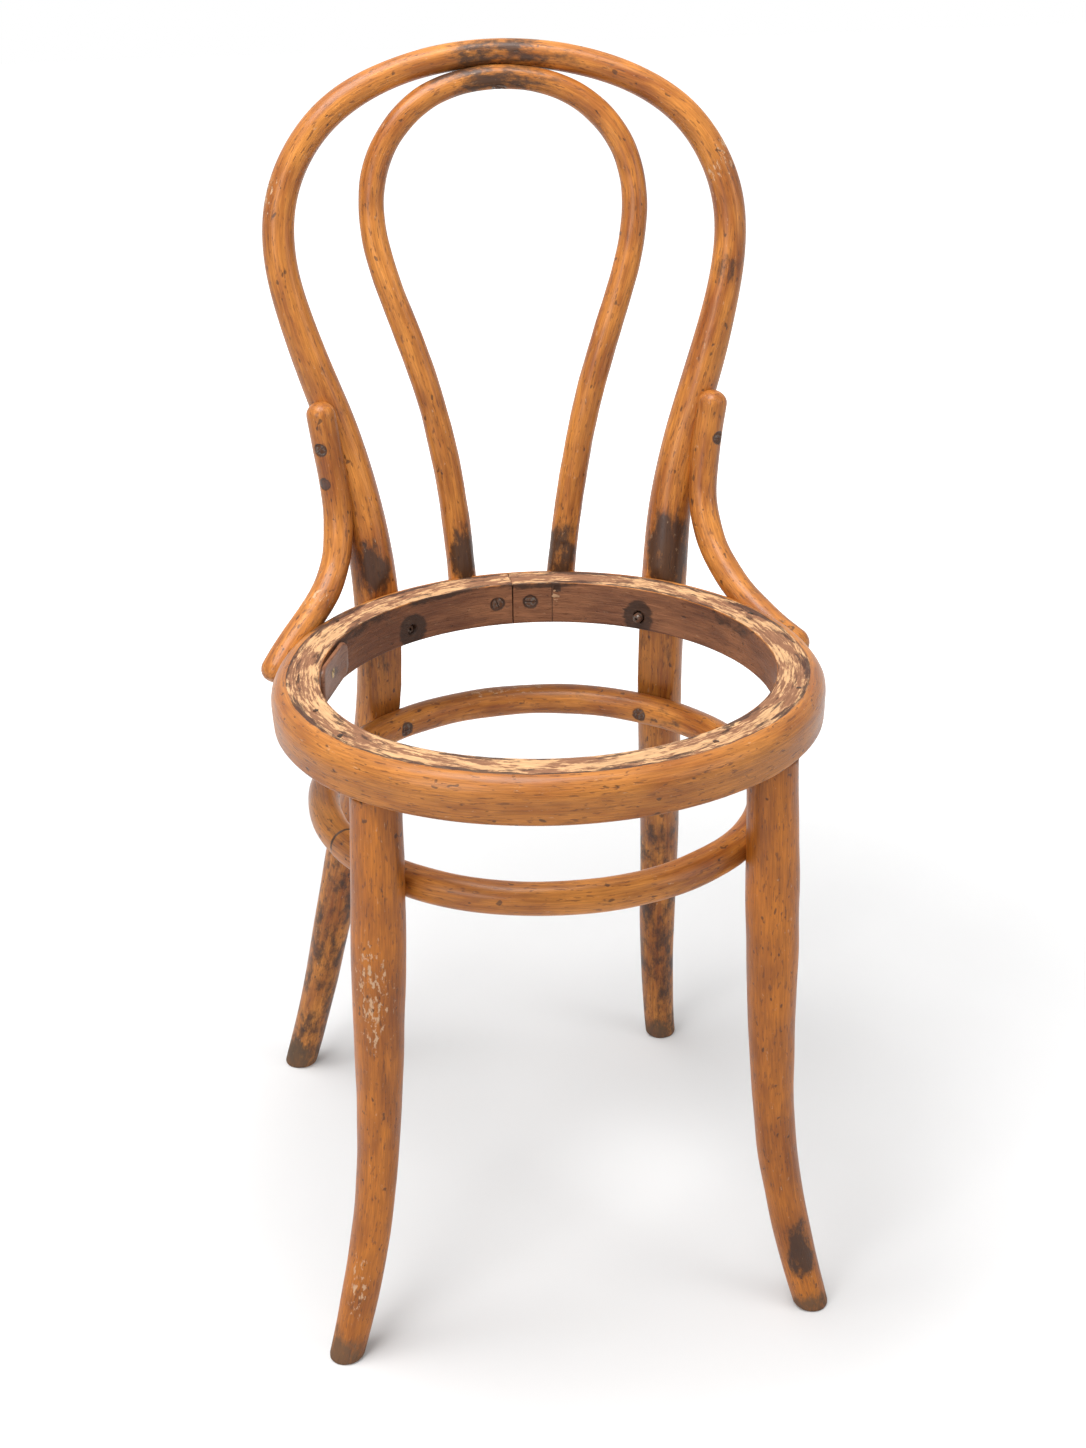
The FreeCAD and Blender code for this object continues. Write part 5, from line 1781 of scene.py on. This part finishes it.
@dataclass
class Studio:
    """White room: floor, soft lamps and the light all round."""

    floor_half: float = 6.0
    floor_grey: float = 0.8
    floor_glow: float = 0.1
    ambient: float = 0.2
    # Painted shadow under the chair: how dark it makes the floor's colour, and over what reach in metres it
    # fades out
    floor_shade: float = 0.86
    shade_reach: tuple[float, float] = (0.08, 0.4)
    glow_reach: tuple[float, float] = (0.45, 1.6)
    lamps: Sequence[Lamp] = (
        Lamp("overhead_lamp", (-0.4, -0.3, 2.6), 1.4, 72.0),
        Lamp("front_left_lamp", (-1.9, -2.0, 1.5), 1.2, 30.0),
        Lamp("front_right_lamp", (2.0, -1.5, 1.4), 1.2, 13.0),
    )

    def seen_white(self, sheet: NodeSheet) -> bpy.types.NodeSocket:
        """One for rays that should see plain white: from the camera, gloss and glass."""
        path = sheet.add("ShaderNodeLightPath")
        seen = sheet.plus(path.outputs["Is Camera Ray"], path.outputs["Is Glossy Ray"], True)
        return sheet.plus(seen, path.outputs["Is Transmission Ray"], True)

    def build_floor(self) -> None:
        """Pale floor that keeps the chair's shadow, with a painted shadow darkening its colour under the
        chair, and white far off.
        """
        half = self.floor_half
        mesh = bpy.data.meshes.new("floor")
        corners = [(-half, -half, 0.0), (half, -half, 0.0), (half, half, 0.0), (-half, half, 0.0)]
        mesh.from_pydata(corners, [], [(0, 1, 2, 3)])
        material, sheet = new_material("pale_floor")
        place = sheet.add("ShaderNodeTexCoord").outputs["Object"]
        cloud = sheet.steps(sheet.noise(place, 3.0), 0.3, 0.7, 0.985, 1.0)
        plain = sheet.blend(1.0, opaque((self.floor_grey,) * 3), cloud, "MULTIPLY")
        apart = sheet.add("ShaderNodeVectorMath", operation="LENGTH")
        sheet.put(apart.inputs[0], place)
        # Painted shadow: a soft pool under the chair darkens the floor's colour
        painted_shadow_pool = sheet.steps(apart.outputs["Value"], *self.shade_reach, self.floor_shade, 1.0)
        plain = sheet.blend(1.0, plain, painted_shadow_pool, "MULTIPLY")
        surface = sheet.add("ShaderNodeBsdfDiffuse")
        sheet.put(surface.inputs["Color"], plain)
        glow = sheet.add("ShaderNodeEmission")
        glow.inputs["Color"].default_value = (1.0, 1.0, 1.0, 1.0)
        far = sheet.steps(apart.outputs["Value"], *self.glow_reach, self.floor_glow, 1.0)
        sheet.put(glow.inputs["Strength"], sheet.times(self.seen_white(sheet), far))
        both = sheet.add("ShaderNodeAddShader")
        sheet.put(both.inputs[0], surface.outputs["BSDF"])
        sheet.put(both.inputs[1], glow.outputs["Emission"])
        output = sheet.add("ShaderNodeOutputMaterial")
        sheet.put(output.inputs["Surface"], both.outputs["Shader"])
        mesh.materials.append(material)
        floor = bpy.data.objects.new("floor", mesh)
        bpy.context.scene.collection.objects.link(floor)

    def build_world(self) -> None:
        """Even light all round, seen as plain white."""
        world = bpy.data.worlds.new("white_room")
        world.use_nodes = True
        sheet = NodeSheet(world.node_tree)
        light = sheet.add("ShaderNodeBackground")
        light.inputs["Color"].default_value = (1.0, 1.0, 1.0, 1.0)
        strength = sheet.add("ShaderNodeMix", data_type="FLOAT")
        sheet.fill(strength, {"Factor": self.seen_white(sheet), "A": self.ambient, "B": 1.0})
        sheet.put(light.inputs["Strength"], strength.outputs["Result"])
        output = sheet.add("ShaderNodeOutputWorld")
        sheet.put(output.inputs["Surface"], light.outputs["Background"])
        bpy.context.scene.world = world

    def build(self) -> None:
        """Set up the room and the plain view."""
        self.build_floor()
        self.build_world()
        for lamp in self.lamps:
            lamp.build()
        Camera().build()
        bpy.context.scene.view_settings.view_transform = "Standard"


LEFT_BRACE = (
    (-136.4, 176.7, 636.5), (-130.6, 173.3, 587.0), (-128.0, 165.5, 543.0),
    (-137.0, 144.6, 509.5), (-162.0, 112.0, 485.5), (-190.0, 80.5, 458.0),
)
RIGHT_BRACE = (
    (159.4, 163.0, 630.5), (151.8, 158.6, 577.5), (149.6, 147.6, 541.0),
    (156.4, 122.8, 509.7), (173.0, 88.2, 485.5), (199.4, 37.5, 467.5),
)


def main() -> None:
    """Build the chair piece by piece, then the studio round it."""
    logging.basicConfig(level=logging.INFO, format="%(message)s")
    finishes = Finishes()
    plan = OvalPlan()
    bow = BackBow()
    loop = InnerLoop()
    braces = {
        Side.LEFT: HipBrace(Side.LEFT, LEFT_BRACE, 31, plugged=True),
        Side.RIGHT: HipBrace(Side.RIGHT, RIGHT_BRACE, 32),
    }
    legs = {Side.LEFT: FrontLeg(Side.LEFT, 61), Side.RIGHT: FrontLeg(Side.RIGHT, 62)}
    seats = {
        Side.LEFT: PostSeat(Side.LEFT, bow.line, plan, -3.0),
        Side.RIGHT: PostSeat(Side.RIGHT, bow.line, plan, 4.5),
    }
    leg_ring = LegRing()
    seat_ring = SeatRing(plan)
    plate = MendingPlate(plan)
    bow.build(finishes, seats)
    loop.build(finishes, plan, bow)
    braces[Side.LEFT].build(finishes, bow, [
        Stain(Mark.DARK, (-150, 120, 492), (22, 26, 18), 0.45),
        Stain(Mark.BARE, (-150, 118, 505), (20, 20, 16), 0.3),
    ])
    braces[Side.RIGHT].build(finishes, bow, [Stain(Mark.DARK, (172, 92, 488), (20, 26, 16), 0.4)])
    legs[Side.LEFT].build(finishes, [
        Stain(Mark.BARE, (-146, -126, 310), (20, 12, 62), 0.34),
        Stain(Mark.BARE, (-168, -130, 70), (18, 14, 42), 0.34),
        Stain(Mark.GRIME, (-176, -118, 0), (34, 34, 40), 0.85),
        Stain(Mark.DARK, (-135, -110, 458), (30, 30, 10), 0.5),
    ])
    legs[Side.RIGHT].build(finishes, [
        Stain(Mark.DARK, (164, -139, 60), (24, 18, 46), 1.0),
        Stain(Mark.GRIME, (176, -128, 0), (34, 34, 30), 0.7),
        Stain(Mark.DARK, (135, -110, 458), (30, 30, 10), 0.5),
    ])
    leg_ring.build(finishes, bow, legs)
    seat_ring.build(finishes, seats)
    plate.build(finishes)
    iron = Fasteners(finishes)
    upper, lower = zip(*(brace.screws(bow) for brace in braces.values()))
    steel_screws = (
        ("brace_upper_screws", upper, 30.0),
        ("brace_lower_screws", lower, 36.0),
        ("leg_ring_screws", leg_ring.screw_seats(bow, legs), 36.0),
        ("scarf_screws", seat_ring.scarf_screws(), 26.0),
        ("loop_foot_screws", loop.foot_screws(), 28.0),
        ("crown_screw", [loop.crown_screw(bow)], 24.0),
    )
    for seed, (node, heads, length) in enumerate(steel_screws, start=71):
        iron.screws(node, heads, length, seed, finishes.steel, "dull_steel")
    iron.screws("patch_screw", [plate.screw()], 20.0, 77, finishes.brass, "old_brass")
    iron.bolts(seats)
    iron.pins(leg_ring.pins())
    iron.seat_tacks()
    iron.plug(braces[Side.LEFT].plug(bow))
    Studio().build()


if __name__ == "__main__":
    main()
